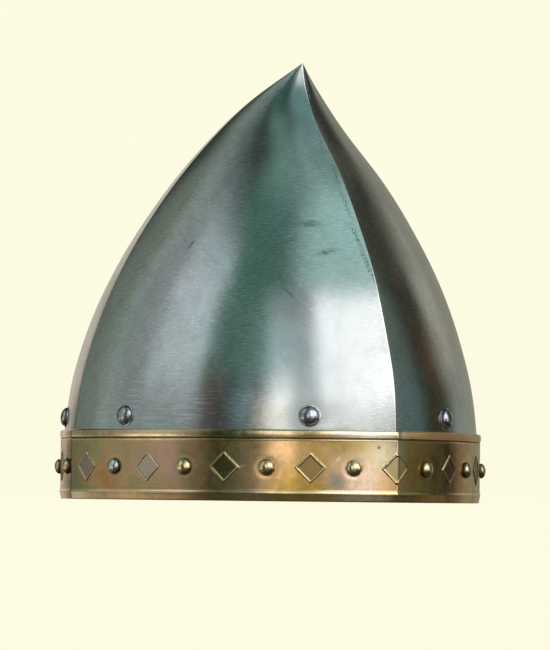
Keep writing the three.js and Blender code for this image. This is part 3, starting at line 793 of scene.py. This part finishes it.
def band_relief(runs, levels):
    """Rise over the plain strip, painted shade and highlights from dark to light, and the sunk middles of the
    diamonds.
    """
    across, up = np.meshgrid(runs, levels - MOTIF_HEIGHT)
    rise = np.interp(levels, *BORDER_PROFILE.T)[:, None] + np.zeros_like(across)
    wear = np.zeros_like(rise)
    sunk = np.zeros_like(rise)
    # Painted highlights along the border crests and painted shade in their grooves
    for level, reach, amount in BORDER_HIGHLIGHTS_AND_SHADE:
        wear += amount * bell(levels - level, reach)[:, None]
    for run in DIAMOND_RUNS:
        near = np.abs(runs - run) < MOTIF_REACH
        emboss, depth = diamond_rise(across[:, near] - run, up[:, near])
        crest_highlight = 1.0
        if run == 0:
            # The fold over the front ridge has all but flattened the far half of its diamond
            emboss *= 1 - 0.6 * smoothstep(runs[near], 0.3, 1.5)
            # Its far half gets only a trace of the painted highlight
            crest_highlight = np.where(runs[near] > 0, 0.1, 1.0)
        rise[:, near] += emboss
        # Painted highlight on each raised outline, painted shade just outside it and along the inner edge of
        # the sunk middle
        wear[:, near] += crest_highlight * bell(depth - 0.55, 0.28) - 0.2 * bell(depth + 0.05, 0.18)
        wear[:, near] -= 0.35 * bell(depth - 1.15, 0.2)
        sunk[:, near] += smoothstep(depth, 0.85, 1.15)
    for run in RIVET_RUNS:
        away = np.hypot(np.minimum(np.abs(across - run), np.abs(across - run + 2 * HALF_ROUND)), up)
        rise -= 0.1 * bell(away - 4.0, 1.2)
        # Painted highlight in a ring round each rivet, and darker right at the foot of its head
        wear += 0.25 * bell(away - 5.2, 0.7) - 0.8 * bell(away - 3.8, 0.45)
    return rise, wear, sunk


def band_flow(runs, levels, layer):
    return np.stack([*np.meshgrid(runs, levels), np.full((len(levels), len(runs)), layer)], -1).reshape(-1, 3)


def bumps(x, y, size, seed):
    return noise.noise(Vector((x / size, y / size, seed)))


def make_band(material):
    runs, levels = band_runs(), band_levels()
    base, outward = (np.array(part) for part in zip(*[band_frame(run) for run in runs]))
    lift = lap_lift(runs)[:, None]
    rise, wear, sunk = band_relief(runs, levels)
    field = base + outward * FIELD_OFFSET
    uneven = [0.1 * bumps(x, y, 31, 0) + 0.05 * bumps(x, y, 9, 5) for x, y, _ in field]
    tall = np.array([bumps(run, 0, 24, 9) for run in runs])
    rise += uneven + 0.05 * tall * np.sin(levels / BAND_HEIGHT * math.pi)[:, None]
    outer = base + outward * (FIELD_OFFSET + lift + rise[..., None])
    outer[..., 2] = levels[:, None]
    inner_levels, depth = BAND_INSIDE.T
    inner = base + outward * (SEAT_GAP + lift + depth[:, None, None])
    inner[..., 2] = inner_levels[:, None]
    count, inner_count = rise.size, inner[..., 0].size
    grid_out = np.arange(count).reshape(len(levels), -1)
    grid_in = np.arange(count, count + inner_count).reshape(len(inner_levels), -1)
    faces = [*grid_quads(len(levels), len(runs)), *grid_quads(len(inner_levels), len(runs), count, True)]
    for row, flip in ((0, False), (-1, True)):
        a, b = grid_out[row], grid_in[row]
        quads = np.stack([a[:-1], b[:-1], b[1:], a[1:]], -1)
        faces += list(quads[:, ::-1] if flip else quads)
    faces.append(np.concatenate([grid_out[:, -1], grid_in[::-1, -1]]))
    faces.append(np.concatenate([grid_out[:, 0], grid_in[::-1, 0]])[::-1])
    attributes = {
        "flow": np.concatenate([band_flow(runs, levels, 0.0), band_flow(runs, inner_levels, 5.0)]),
        "wear": np.concatenate([np.clip(wear, -1, 1).ravel(), np.full(inner_count, -0.4)]),
        "sunk": np.concatenate([sunk.ravel(), np.zeros(inner_count)]),
    }
    points = np.concatenate([outer.reshape(-1, 3), inner.reshape(-1, 3)])
    make_piece("brow_band", "band_brass", points, faces, [material], attributes, 36)


# Turned pieces

def around(normal, sides):
    """Directions square to a normal, all the way round it."""
    side = unit(np.cross(normal, [0, 0, 1.0] if abs(normal[2]) < 0.9 else [0, 1.0, 0]))
    other = np.cross(normal, side)
    angles = [2 * math.pi * k / sides for k in range(sides)]
    return [side * math.cos(angle) + other * math.sin(angle) for angle in angles]


def make_turned(node, slot, rows, sides, point, normal, material, smooth_angle, jitter=0.0, seed=0):
    """Turned piece along a normal, from rows of radius, height and wear that run from pole to pole."""
    normal = unit(np.asarray(normal))
    points = [point + normal * rows[0][1]]
    for radius, height, _ in rows[1:-1]:
        for direction in around(normal, sides):
            spot = point + normal * height + direction * radius
            if jitter:
                spot = spot + normal * jitter * noise.noise(Vector(spot / 2.1 + seed))
            points.append(spot)
    points.append(point + normal * rows[-1][1])
    faces = [[0, 1 + (k + 1) % sides, 1 + k] for k in range(sides)]
    last = 1 + (len(rows) - 3) * sides
    for start in range(1, last, sides):
        for k in range(sides):
            a, b = start + k, start + (k + 1) % sides
            faces.append([a, b, b + sides, a + sides])
    faces += [[last + k, last + (k + 1) % sides, len(points) - 1] for k in range(sides)]
    wear = [rows[0][2], *np.repeat([row[2] for row in rows[1:-1]], sides), rows[-1][2]]
    make_piece(node, slot, points, faces, [material], {"wear": wear}, smooth_angle)


def make_ring(node, slot, ring, sides, point, normal, material):
    """Turned ring from a closed outline of radius and height."""
    count = len(ring)
    points, faces = [], []
    for k, direction in enumerate(around(normal, sides)):
        points += [point + normal * height + direction * radius for radius, height in ring]
        ahead = (k + 1) % sides
        for i in range(count):
            j = (i + 1) % count
            faces.append([k * count + i, k * count + j, ahead * count + j, ahead * count + i])
    make_piece(node, slot, points, faces, [material], {"wear": np.full(len(points), -0.15)}, 35)


def rivet_rows(size, grip, flange):
    """Radius, height and wear of a rivet's rings, from its tail inside to the top of its domed head."""
    head_radius, head_height, shank_radius, tail_radius, tail_height = size
    rows = [(0, -grip - tail_height, 0.0)]
    for part in (0.35, 0.7, 0.92, 1.0):
        dome = tail_height * math.sqrt(max(0, 1 - part ** 2.6))
        rows.append((tail_radius * part, -grip - dome - 0.02, -0.2))
    rows += [(shank_radius, -grip, -0.6), (shank_radius, -0.05, -0.6)]
    if flange:
        wide = head_radius + flange
        rows += [(wide, -0.28, -0.3), (wide, 0.0, 0.3), (head_radius + flange * 0.55, 0.17, 0.8),
                 (head_radius + 0.1, 0.12, -0.9)]
    else:
        rows += [(head_radius - 0.15, -0.26, -0.9), (head_radius, -0.05, -0.6)]
    for i in range(DOME_STEPS):
        angle = i / DOME_STEPS * math.pi / 2
        rows.append((head_radius * math.cos(angle), DOME_FOOT + (head_height - DOME_FOOT) * math.sin(angle),
                     -0.9 * bell(angle, 0.3)))
    return [*rows, (0, head_height, 0.0)]


def make_rivet(node, slot, size, grip, point, normal, material, sides, flange=0.0):
    tilt = np.array([rng.uniform(-1, 1), rng.uniform(-1, 1), rng.uniform(-1, 1)]) * RIVET_TILT
    rows = rivet_rows(size, grip, flange)
    make_turned(node, slot, rows, sides, point, unit(normal + tilt), material, 42, RIVET_UNEVENNESS,
                rng.random() * 50)


def make_band_rivets(brass, pale):
    for number, run in enumerate(RIVET_RUNS, 1):
        base, outward = band_frame(run)
        offset = FIELD_OFFSET + float(lap_lift(np.array(run))) + RIVET_FIT
        point = base + outward * offset + [0, 0, MOTIF_HEIGHT]
        grip = offset + WALL + 3 * RIVET_FIT
        material = pale if number == PALE_RIVET_NUMBER else brass
        node = f"band_rivet_{number}"
        make_rivet(node, "rivet_brass", BAND_RIVET, grip, point, unit(outward), material, 28)


def make_liner_rivets(material):
    """Steel rivets of the liner, each with a washer under its tail."""
    depth = WALL + SEAT_GAP + HEADBAND_LEATHER + TONGUE_GAP + TONGUE_LEATHER
    grip = depth + WASHER_THICKNESS + 3 * RIVET_FIT - LINER_RIVET_DIMPLE
    hole, edge = LINER_RIVET[2] + RIVET_FIT, WASHER_EDGE
    ring = [(hole, -edge), (hole + edge, 0.0), (WASHER_RADIUS - edge, 0.0), (WASHER_RADIUS, -edge),
            (WASHER_RADIUS, edge - WASHER_THICKNESS), (WASHER_RADIUS - edge, -WASHER_THICKNESS),
            (hole + edge, -WASHER_THICKNESS), (hole, edge - WASHER_THICKNESS)]
    for site in LINER_SITES:
        name, point, normal = site["name"], site["point"], site["normal"]
        seat = point + normal * (RIVET_FIT - LINER_RIVET_DIMPLE)
        make_rivet("liner_rivet_" + name, "rivet_steel", LINER_RIVET, grip, seat, normal, material, 32,
                   LINER_RIVET_FLANGE)
        top = point - normal * (depth + RIVET_FIT)
        make_ring("liner_washer_" + name, "rivet_steel", ring, 40, top, normal, material)


# Liner

def inset_point(plate, share, z, inset):
    return skull_point(plate, share, z) - inset * skull_normal(plate, share, z)


def make_leather(node, middle, thickness, material):
    """Leather sheet around a grid of middle points, with rounded and darker edges."""
    normal = unit(np.cross(np.gradient(middle, axis=1), np.gradient(middle, axis=0)))
    row_in, column_in = (np.minimum(np.arange(count), np.arange(count)[::-1]) for count in middle.shape[:2])
    ring = np.minimum(row_in[:, None], column_in)
    half = thickness / 2 * np.select([ring == 0, ring == 1], [0.45, 0.85], 1.0)[..., None]
    wear = np.select([ring == 0, ring == 1], [-1.0, -0.45], 0.0).ravel()
    points, faces, _ = sheet_parts(middle + normal * half, middle - normal * half)
    make_piece(node, "liner_leather", points, faces, [material], {"wear": np.concatenate([wear, wear])}, 70)


def with_edges(count, size, edge):
    """Shares of a length: near both ends there are closer steps for the rounded edge."""
    margin = edge / size
    inner = margin + np.linspace(0, 1, count) * (1 - 2 * margin)
    return np.concatenate([[0.0, margin * 0.35], inner, [1 - margin * 0.35, 1.0]])


def make_headband(material):
    foot = LINER_RIVET_HEIGHT - HEADBAND_HEIGHT / 2
    inset = WALL + SEAT_GAP + HEADBAND_LEATHER / 2
    shares = np.linspace(0, 1, 41)
    front_shares = np.maximum(shares, HEADBAND_EASE / FRONT_ARC)
    rows = []
    for z in foot + with_edges(12, HEADBAND_HEIGHT, HEADBAND_EDGE) * HEADBAND_HEIGHT:
        sides = (("front", front_shares), ("rear", shares[1:]))
        row = np.concatenate([inset_point(plate, places, z, inset) for plate, places in sides])
        row[0, 0] = 0.0
        row[-1] += unit(row[-2] - row[-1]) * HEADBAND_SEAM / 2
        rows.append(np.concatenate([mirror(row)[:0:-1], row]))
    middle = np.array(rows)
    slack = np.array([[abs(noise.noise(Vector(p / 23.0))) for p in row] for row in middle]) * HEADBAND_SLACK
    middle = middle - unit(middle * [1, 1, 0]) * slack[..., None]
    make_leather("liner_headband", middle, HEADBAND_LEATHER, material)


def crown_middle():
    corner = corners_at(np.array([LINER_RIVET_HEIGHT + HEADBAND_HEIGHT / 2]))[1][0]
    return np.array([0.0, corner[1], CROWN_HEIGHT])


def make_tongue(site, material):
    """Tongue that rises along its plate behind the headband and then bends over to the crown."""
    foot = LINER_RIVET_HEIGHT - HEADBAND_HEIGHT / 2 + TONGUE_INSET
    top = LINER_RIVET_HEIGHT + HEADBAND_HEIGHT / 2
    length = float(arc_parts(site["plate"], np.array([LINER_RIVET_HEIGHT]))[4][0])
    inset = WALL + SEAT_GAP + HEADBAND_LEATHER + TONGUE_GAP + TONGUE_LEATHER / 2
    across = with_edges(11, TONGUE_FOOT, TONGUE_EDGE) - 0.5
    shares = site["share"] + across * TONGUE_FOOT / length
    grid = [inset_point(site["plate"], shares, z, inset)
            for z in (foot, foot + 0.3, foot + 0.9, *np.linspace(foot + 3, top, 8))]
    last = grid[-1]
    crown = crown_middle()
    start = last[len(across) // 2]
    reach = (start - crown) * [1, 1, 0]
    distance = np.linalg.norm(reach)
    outward = reach / distance
    sideways = np.cross([0, 0, 1.0], outward)
    bends = (last - start) @ outward
    tip_angle = math.acos(TIP_REACH / distance)
    rise = (crown[2] - TONGUE_LEATHER / 2 - start[2]) / math.sin(tip_angle)
    for part in (*np.linspace(0, 1, 19)[1:-1], 0.985, 0.995, 1.0):
        angle = tip_angle * part
        centre = crown * [1, 1, 0] + reach * math.cos(angle)
        centre[2] = start[2] + rise * math.sin(angle)
        to_foot = (math.cos(angle) - math.cos(tip_angle)) / (1 - math.cos(tip_angle))
        width = TONGUE_TIP + (TONGUE_FOOT - TONGUE_TIP) * to_foot
        curl = bends * math.cos(math.pi / 2 * part)
        grid.append(centre + across[:, None] * width * sideways + curl[:, None] * outward)
    middle = np.array(grid)
    if site["side"] == "right":
        middle = mirror(middle)[:, ::-1]
    make_leather("liner_tongue_" + site["name"], middle, TONGUE_LEATHER, material)


def make_patch(material):
    centre = crown_middle() + [0, 0, PATCH_GAP + PATCH_THICKNESS / 2]
    half = PATCH_THICKNESS / 2
    under = [(PATCH_RADIUS * part, -half, 0.0) for part in (0, 0.25, 0.5, 0.75, 0.9)]
    under += [(PATCH_RADIUS - PATCH_EDGE, -half, 0.0), (PATCH_RADIUS - 0.1, 0.3 - half, -1.0)]
    over = [(radius, -height, wear) for radius, height, wear in reversed(under)]
    rows = [*under, (PATCH_RADIUS, 0.0, -1.0), *over]
    make_turned("liner_crown_patch", "liner_leather", rows, 64, centre, [0.0, 0.0, 1.0], material, 60)


# Camera and light

CAMERA_TURN = math.radians(-30)
CAMERA_DISTANCE = 2100.0
CAMERA_HEIGHT = 3.4
FOCAL_PIXELS = 4200.0
PICTURE = (550, 650)
AXIS_PIXEL = (261.3, 494.0)
ROLL = math.radians(0.67)
SENSOR = 36.0


def make_camera():
    """Camera level with the rim, rolled a little, with the helmet's axis at its pixel."""
    ahead = Vector((-math.sin(CAMERA_TURN), math.cos(CAMERA_TURN), 0))
    right = Vector((math.cos(CAMERA_TURN), math.sin(CAMERA_TURN), 0))
    place = -ahead * CAMERA_DISTANCE + Vector((0, SHIFT_Y, CAMERA_HEIGHT))
    off_x, off_y = PICTURE[0] / 2 - AXIS_PIXEL[0], PICTURE[1] / 2 - AXIS_PIXEL[1]
    turn_x = math.cos(ROLL) * off_x + math.sin(ROLL) * off_y
    turn_y = -math.sin(ROLL) * off_x + math.cos(ROLL) * off_y
    look = (ahead + right * turn_x / FOCAL_PIXELS + Vector((0, 0, -turn_y / FOCAL_PIXELS))).normalized()
    side = (right - look * right.dot(look)).normalized()
    rolled = side * math.cos(ROLL) + side.cross(look) * math.sin(ROLL)
    data = bpy.data.cameras.new("camera")
    data.sensor_width = data.sensor_height = SENSOR
    data.lens = FOCAL_PIXELS * SENSOR / max(PICTURE)
    data.clip_start, data.clip_end = 0.05, 100
    camera = bpy.data.objects.new("camera", data)
    rotation = Matrix((rolled, rolled.cross(look), -look)).transposed().to_4x4()
    camera.matrix_world = Matrix.Translation(place * MM) @ rotation
    bpy.context.scene.collection.objects.link(camera)
    bpy.context.scene.camera = camera


CREAM = (0.982, 0.965, 0.761)
AMBIENT = (0.034, 0.04, 0.032)
FLOOR_HALF = 4000.0
FLOOR_DROP = 0.2
FLOOR_GLOW = 0.98

# Soft boxes around the studio: turn and half width, lowest and highest elevation, two softnesses
# (all in degrees), colour and strength
SOFT_BOXES = [
    (1, 28, 6, 45, 3, 4, (1, 1, 0.99), 1.77),
    (-44, 6, 6, 16, 5, 4, (1, 0.94, 0.87), 1.2),
    (-43, 4, 14, 27, 4, 6, (1, 0.98, 0.95), 0.8),
    (35, 12, -10, 50, 3, 5, (1, 1, 1), 1.2),
    (97, 20, 47, 75, 6, 7, (1, 0.95, 0.88), 0.22),
    (-116, 36, -44, -14, 8, 8, (1, 0.9, 0.72), 0.16),
    (-101, 15, -18, -7, 4, 3, (1, 0.86, 0.66), 1.0),
    (-148, 9, -18, -7, 4, 3, (1, 0.88, 0.72), 0.6),
    (84, 9, -18, -6, 4, 3, (1, 0.8, 0.6), 0.16),
    (-41, 5, -8, 6, 3, 4, (1, 0.92, 0.8), 1.6),
    (-32, 34, -36, -19, 8, 4, (0.95, 1, 0.95), 0.1),
    (-40, 11, 6, 42, 5, 6, (0.84, 1, 1), 0.52),
    (-24, 14, -14, 5, 5, 4, (1, 0.88, 0.6), 0.36),
    (-3, 9, -14, 5, 5, 4, (1, 0.98, 0.95), 1.0),
    (-94, 14, 16, 54, 2, 8, (0.9, 0.96, 1.06), 0.42),
    (-106, 27, -14, 54, 3, 8, (0.9, 1, 0.97), 0.34),
    (-143, 13, -14, 58, 5, 8, (0.85, 1, 0.82), 0.22),
    (-122, 24, 50, 66, 10, 5, (0.72, 1, 0.97), 0.2),
    (-75, 4, -14, 26, 2, 8, (1, 0.74, 0.72), 0.06),
    (-58, 4, -14, 30, 3, 8, (0.6, 0.95, 1), 0.16),
    (-66, 22, 24, 90, 8, 6, (0.25, 1, 0.75), 0.14),
    (-40, 50, 68, 90, 16, 5, (0.72, 1, 0.9), 0.25),
    (6, 42, 45, 68, 10, 5, (0.62, 1, 0.95), 0.66),
    (45, 60, 64, 90, 20, 6, (0.62, 1, 0.97), 0.35),
    (64, 12, -14, 44, 6, 6, (0.66, 1, 0.85), 0.15),
    (108, 9, -14, 28, 4, 6, (0.94, 0.97, 0.84), 0.34),
    (105, 8, 12, 22, 4, 5, (1, 0.98, 0.86), 0.12),
    (133, 16, -14, 30, 6, 6, (0.98, 1, 0.84), 0.28),
    (164, 12, -14, 30, 3, 10, (1, 0.9, 0.76), 0.62),
]


def make_world():
    """Studio of soft boxes, seen by the pieces only; the camera sees plain cream."""
    world = bpy.data.worlds.new("studio")
    bpy.context.scene.world = world
    world.use_nodes = True
    world.node_tree.nodes.clear()
    s = Nodes(world.node_tree)
    parts = s.add("ShaderNodeSeparateXYZ", {0: s.add("ShaderNodeTexCoord").outputs["Generated"]}).outputs
    elevation = s.times(s.math("ARCSINE", parts[2]), 180 / math.pi)
    flat = s.vector("NORMALIZE", s.add("ShaderNodeCombineXYZ", {0: parts[0], 1: parts[1]}).outputs[0])
    total = s.add("ShaderNodeRGB").outputs[0]
    total.default_value = rgba(*AMBIENT)
    for turn, half, low, high, soft_turn, soft_up, colour, strength in SOFT_BOXES:
        angle = math.radians(turn)
        cosine = s.vector("DOT_PRODUCT", flat, (math.sin(angle), -math.cos(angle), 0), "Value")
        away = s.times(s.math("ARCCOSINE", s.math("MINIMUM", cosine, 0.99999)), 180 / math.pi)
        mask = s.times(s.ramp(away, half + soft_turn, half - soft_turn),
                       s.ramp(elevation, low - soft_up, low + soft_up))
        if high < 90:
            mask = s.times(mask, s.ramp(elevation, high + soft_up, high - soft_up))
        light = {0: [channel * strength for channel in colour], "Scale": mask}
        scaled = s.add("ShaderNodeVectorMath", light, operation="SCALE").outputs[0]
        total = s.vector("ADD", total, scaled)
    lit, plain = (s.add("ShaderNodeBackground", {"Color": colour}).outputs[0]
                  for colour in (total, rgba(*CREAM)))
    seen = s.add("ShaderNodeLightPath").outputs["Is Camera Ray"]
    mixed = s.add("ShaderNodeMixShader", {0: seen, 1: lit, 2: plain}).outputs[0]
    s.add("ShaderNodeOutputWorld", {"Surface": mixed})


def make_floor():
    s = Shader("floor_paper")
    s.set(Base_Color=rgba(0.06, 0.06, 0.05), Roughness=0.9, Specular_IOR_Level=0.0)
    s.set(Emission_Color=rgba(*CREAM), Emission_Strength=FLOOR_GLOW)
    corners = [(x * FLOOR_HALF, y * FLOOR_HALF, -FLOOR_DROP) for x, y in ((-1, -1), (1, -1), (1, 1), (-1, 1))]
    floor = make_object("floor", corners, [[0, 1, 2, 3]], [s.material])
    floor.visible_glossy = False
    floor.visible_diffuse = False


make_camera()
make_world()
make_floor()

# Every place on a sheet is given along and up it, with its half length, half width and angle. On a plate,
# the way along it starts from the middle.
# Marks on the front right plate, with their strength and whether they are pits rather than smudges
PLATE_MARKS = [
    (-23.7, 123.7, 2.0, 0.6, 1.0, 1.7, False),
    (34.1, 133.6, 5.0, 1.5, 0.05, 1.0, False),
    (45.2, 119.7, 4.0, 1.3, 0.2, 1.0, False),
    (31.0, 98.6, 3.2, 0.5, -0.7, 1.1, False),
    (-8.5, 113.8, 1.0, 1.0, 0, 0.5, True),
    (-28.5, 92.0, 4.5, 4.0, 0.3, 0.4, True),
    (-35.4, 82.0, 2.0, 1.8, 0.8, 0.4, True),
    (-17.5, 145.5, 0.9, 2.0, 0, 0.5, True),
    (66.2, 113.5, 9.0, 1.0, 2.1, 1.4, True),
    (58.3, 127.0, 6.0, 0.9, 2.1, 1.2, True),
    (49.8, 143.5, 8.0, 0.8, 2.1, 1.0, True),
    (41.8, 158.0, 8.0, 0.8, 2.05, 0.9, True),
    (29.8, 176.0, 5.0, 0.7, 2.0, 0.7, True),
]
# Scratches, sweeps of fine scratches painted as a bright bluish sheen, and where the grinding strokes are
# fainter, with their strength
PLATE_SCRATCHES = [(17.0, 100.5, 1.9, 0.3, 0.9, 0.5), (42.0, 91.5, 1.2, 0.5, 0.3, 0.3)]
PLATE_SWEEPS = [(-20, 40, 30, 4, 0.05, 0.4), (-50, 48, 16, 9, 0.5, 0.4), (-15, 44, 18, 6, 0.35, 0.4)]
PLATE_SMOOTH = [(52, 70, 24, 38, 0, 0.4)]
# Hues laid over the colour of a front plate, with their strength and colour
PLATE_TINTS = [
    (-41, 135, 20, 7, 1.1, 0.6, (0.97, 0.93, 0.78)),
    (-24, 122, 6, 12, 0, 0.5, (0.97, 0.92, 1)),
    (-56, 66, 7, 9, 0.3, 0.5, (0.9, 0.92, 1.02)),
    (-61, 82, 24, 8, 1.3, 0.5, (0.88, 1, 0.86)),
    (-51, 54, 9, 6, 0.3, 0.8, (0.95, 0.82, 0.76)),
    (-33, 95, 17, 22, 0, 0.35, (1, 0.96, 1.06)),
    (-8, 118, 4, 30, -0.12, 0.45, (0.9, 1, 1.12)),
    (-45, 100, 5, 20, -0.5, 0.4, (0.88, 0.97, 1.05)),
    (-1.8, 51, 5.5, 14, 0, 1, (0.86, 0.7, 0.66)),
    (-4.5, 60, 3.5, 9, 0, 0.8, (0.66, 0.76, 0.66)),
    (0, 80, 5, 18, 0.15, 0.7, (0.78, 0.78, 0.8)),
    (12, 72, 9, 22, 0, 0.3, (0.84, 1.06, 0.96)),
    (31, 70, 8, 16, 0, 0.9, (1.2, 1.24, 1.34)),
    (49, 66, 5, 26, 0, 0.8, (1.2, 1.2, 1.24)),
    (12, 45, 6, 8, 0, 0.9, (1.25, 1.45, 1.6)),
    (26, 40, 8, 7, 0, 0.8, (1.05, 0.97, 0.86)),
    (22, 150, 10, 30, 0, 0.5, (0.86, 0.98, 1.06)),
]
# The first of these is so large that it warms the whole front left plate
LEFT_PLATE_TINTS = [
    (0, 100, 400, 400, 0, 1, (1.06, 1, 0.9)),
    (-76, 46, 9, 24, 0, 1, (0.84, 1.03, 1.26)),
    (-56, 66, 6, 36, 0, 1, (1.45, 1, 0.74)),
    (-29, 46, 10, 17, 0, 1, (0.74, 0.84, 0.94)),
    (-32, 160, 24, 7, 1, 0.9, (1.6, 1.65, 1.6)),
]

STEEL = plate_steel("steel_plate")
FRONT_STEELS = {
    "left": plate_steel("steel_plate_warm", tints=LEFT_PLATE_TINTS),
    "right": plate_steel("steel_plate_marked", PLATE_MARKS, PLATE_SCRATCHES, PLATE_TINTS, PLATE_SWEEPS,
                         PLATE_SMOOTH),
}
INNER_STEEL = inner_steel()
for plate_side in ("left", "right"):
    for plate_name in ("front", "rear"):
        outside = FRONT_STEELS[plate_side] if plate_name == "front" else STEEL
        make_plate(plate_side, plate_name, [outside, INNER_STEEL])

# Tints on the band, with the way along it in pitches, and with their strength and colour; the light and dark
# strips along the borders, at heights 2 and 32, are painted highlights and painted shade
BRASS_MARKS = [
    (-4.1, 17, 34, 16, 0, 0.5, (0.56, 0.38, 0.27)),
    (-3.62, 11, 7, 9, 0.2, 0.8, (0.66, 0.27, 0.05)),
    (-4.25, 9, 5, 6, 0.3, 0.6, (0.3, 0.4, 0.24)),
    (-3.85, 24, 6, 5, 0, 0.5, (0.36, 0.42, 0.17)),
    (-3.3, 26, 9, 4, 0, 0.5, (0.44, 0.42, 0.18)),
    (-4.1, 3, 6, 3, 0, 0.6, (0.28, 0.42, 0.33)),
    (-3.75, 32, 16, 2.2, 0, 0.8, (0.4, 0.28, 0.14)),
    (-2.6, 17, 13, 15, 0, 0.75, (0.8, 0.5, 0.4)),
    (-3.05, 17, 10, 9, 0, 0.6, (0.62, 0.44, 0.34)),
    (-2.8, 32, 17, 2.4, 0, 0.9, (1, 0.82, 0.56)),
    (-4.5, 32, 12, 2.6, 0, 0.9, (1, 0.84, 0.6)),
    (-2.05, 16, 9, 17, 0.2, 0.7, (0.3, 0.3, 0.12)),
    (-1.95, 32, 17, 2.6, 0, 0.9, (0.2, 0.19, 0.08)),
    (-1.6, 14, 7, 12, 0.3, 0.6, (0.62, 0.42, 0.3)),
    (-1.35, 20, 7, 13, 0, 0.7, (0.98, 0.66, 0.38)),
    (-1.4, 32, 9, 2.6, 0, 0.9, (1, 0.86, 0.6)),
    (-1.12, 8, 12, 9, 0, 0.9, (0.52, 0.31, 0.05)),
    (-0.85, 20, 14, 11, 0, 0.5, (0.62, 0.45, 0.15)),
    (-1.02, 32, 6, 2.6, 0, 0.9, (0.32, 0.26, 0.09)),
    (-0.25, 23, 11, 7, 0, 0.75, (0.62, 0.57, 0.38)),
    (-0.42, 11, 13, 9, 0, 0.85, (0.98, 0.76, 0.62)),
    (-0.12, 8, 4, 7, 0, 0.7, (0.8, 0.5, 0.22)),
    (-0.69, 9.5, 3.5, 4.5, 0.4, 0.85, (0.28, 0.31, 0.31)),
    (-0.78, 22, 2.5, 6, 0.5, 0.6, (0.85, 0.6, 0.36)),
    (0.35, 15, 13, 14, 0, 0.85, (0.58, 0.26, 0.08)),
    (1.22, 15, 4, 13, 0, 0.8, (0.85, 0.28, 0.1)),
    (1.05, 16, 6, 15, 0, 0.8, (0.18, 0.1, 0.04)),
    (1.4, 16, 6, 15, 0, 0.8, (0.6, 0.28, 0.1)),
    (2.0, 17, 20, 15, 0, 0.5, (0.6, 0.44, 0.18)),
    (0.8, 32, 28, 2.6, 0, 0.95, (0.98, 0.55, 0.24)),
    (-0.3, 32, 12, 2.6, 0, 0.9, (1, 0.94, 0.85)),
    (-0.12, 23, 8, 6, 0, 0.6, (0.86, 0.8, 0.56)),
    (-3.7, 2, 20, 2.4, 0, 0.8, (0.95, 0.74, 0.5)),
    (-2.9, 2, 16, 2.6, 0, 0.9, (0.42, 0.34, 0.22)),
    (-2.45, 17, 4.5, 15, 0.2, 0.8, (0.36, 0.28, 0.1)),
    (-2.8, 8, 14, 4, 0, 0.5, (0.48, 0.34, 0.18)),
    (-2.75, 22, 6, 7, 0.3, 0.6, (0.78, 0.46, 0.4)),
    (-3.55, 20, 5, 9, 0, 0.6, (0.74, 0.48, 0.3)),
    (-4.15, 25, 5, 5, 0, 0.6, (0.42, 0.46, 0.22)),
    (-1.6, 24, 4, 8, 0.2, 0.7, (0.42, 0.3, 0.13)),
    (-1.45, 6.5, 5, 4, 0, 0.7, (0.5, 0.34, 0.14)),
    (-0.57, 26.5, 8, 3.5, 0, 0.75, (0.48, 0.37, 0.13)),
    (-0.62, 32, 9, 2.6, 0, 0.9, (1, 0.84, 0.68)),
    (-0.35, 2, 12, 2.2, 0, 0.7, (0.95, 0.8, 0.56)),
    (-0.21, 26, 0.7, 0.7, 0, 1, (0.12, 0.1, 0.05)),
    (-0.685, 20, 1.5, 0.7, 1, 0.9, (1, 0.88, 0.66)),
    (-1.797, 16.3, 1.8, 0.5, 0.3, 1, (1, 0.9, 0.7)),
]
# Colours of the sunk middles of some diamonds, by their number from the front ridge
DIAMOND_TINTS = {
    -4: (0.42, 0.33, 0.3),
    -3: (0.58, 0.47, 0.4),
    -2: (0.07, 0.075, 0.03),
    -1: (0.3, 0.21, 0.1),
    0: (0.44, 0.36, 0.16),
    1: (0.2, 0.11, 0.05),
}
make_band(band_brass("brass_band", [(run * PITCH, *row) for run, *row in BRASS_MARKS],
                     [(number * PITCH, colour) for number, colour in DIAMOND_TINTS.items()]))

BRASS_RIVET = rivet_metal("brass_rivet", (0.9, 0.72, 0.44), (0.6, 0.46, 0.24), (0.06, 0.05, 0.03), 0.19)
PALE_RIVET = rivet_metal("brass_rivet_pale", (0.72, 0.75, 0.74), (0.5, 0.52, 0.5), (0.05, 0.05, 0.04), 0.17)
STEEL_RIVET = rivet_metal("steel_rivet", (0.54, 0.54, 0.6), (0.32, 0.32, 0.37), (0.03, 0.035, 0.04), 0.15)
make_band_rivets(BRASS_RIVET, PALE_RIVET)
make_liner_rivets(STEEL_RIVET)

LEATHER = liner_leather("leather", (0.33, 0.19, 0.1), (0.24, 0.13, 0.065))
make_headband(LEATHER)
for liner_site in LINER_SITES:
    make_tongue(liner_site, LEATHER)
make_patch(LEATHER)

bpy.context.scene.view_settings.view_transform = "Standard"
bpy.context.scene.view_settings.look = "None"
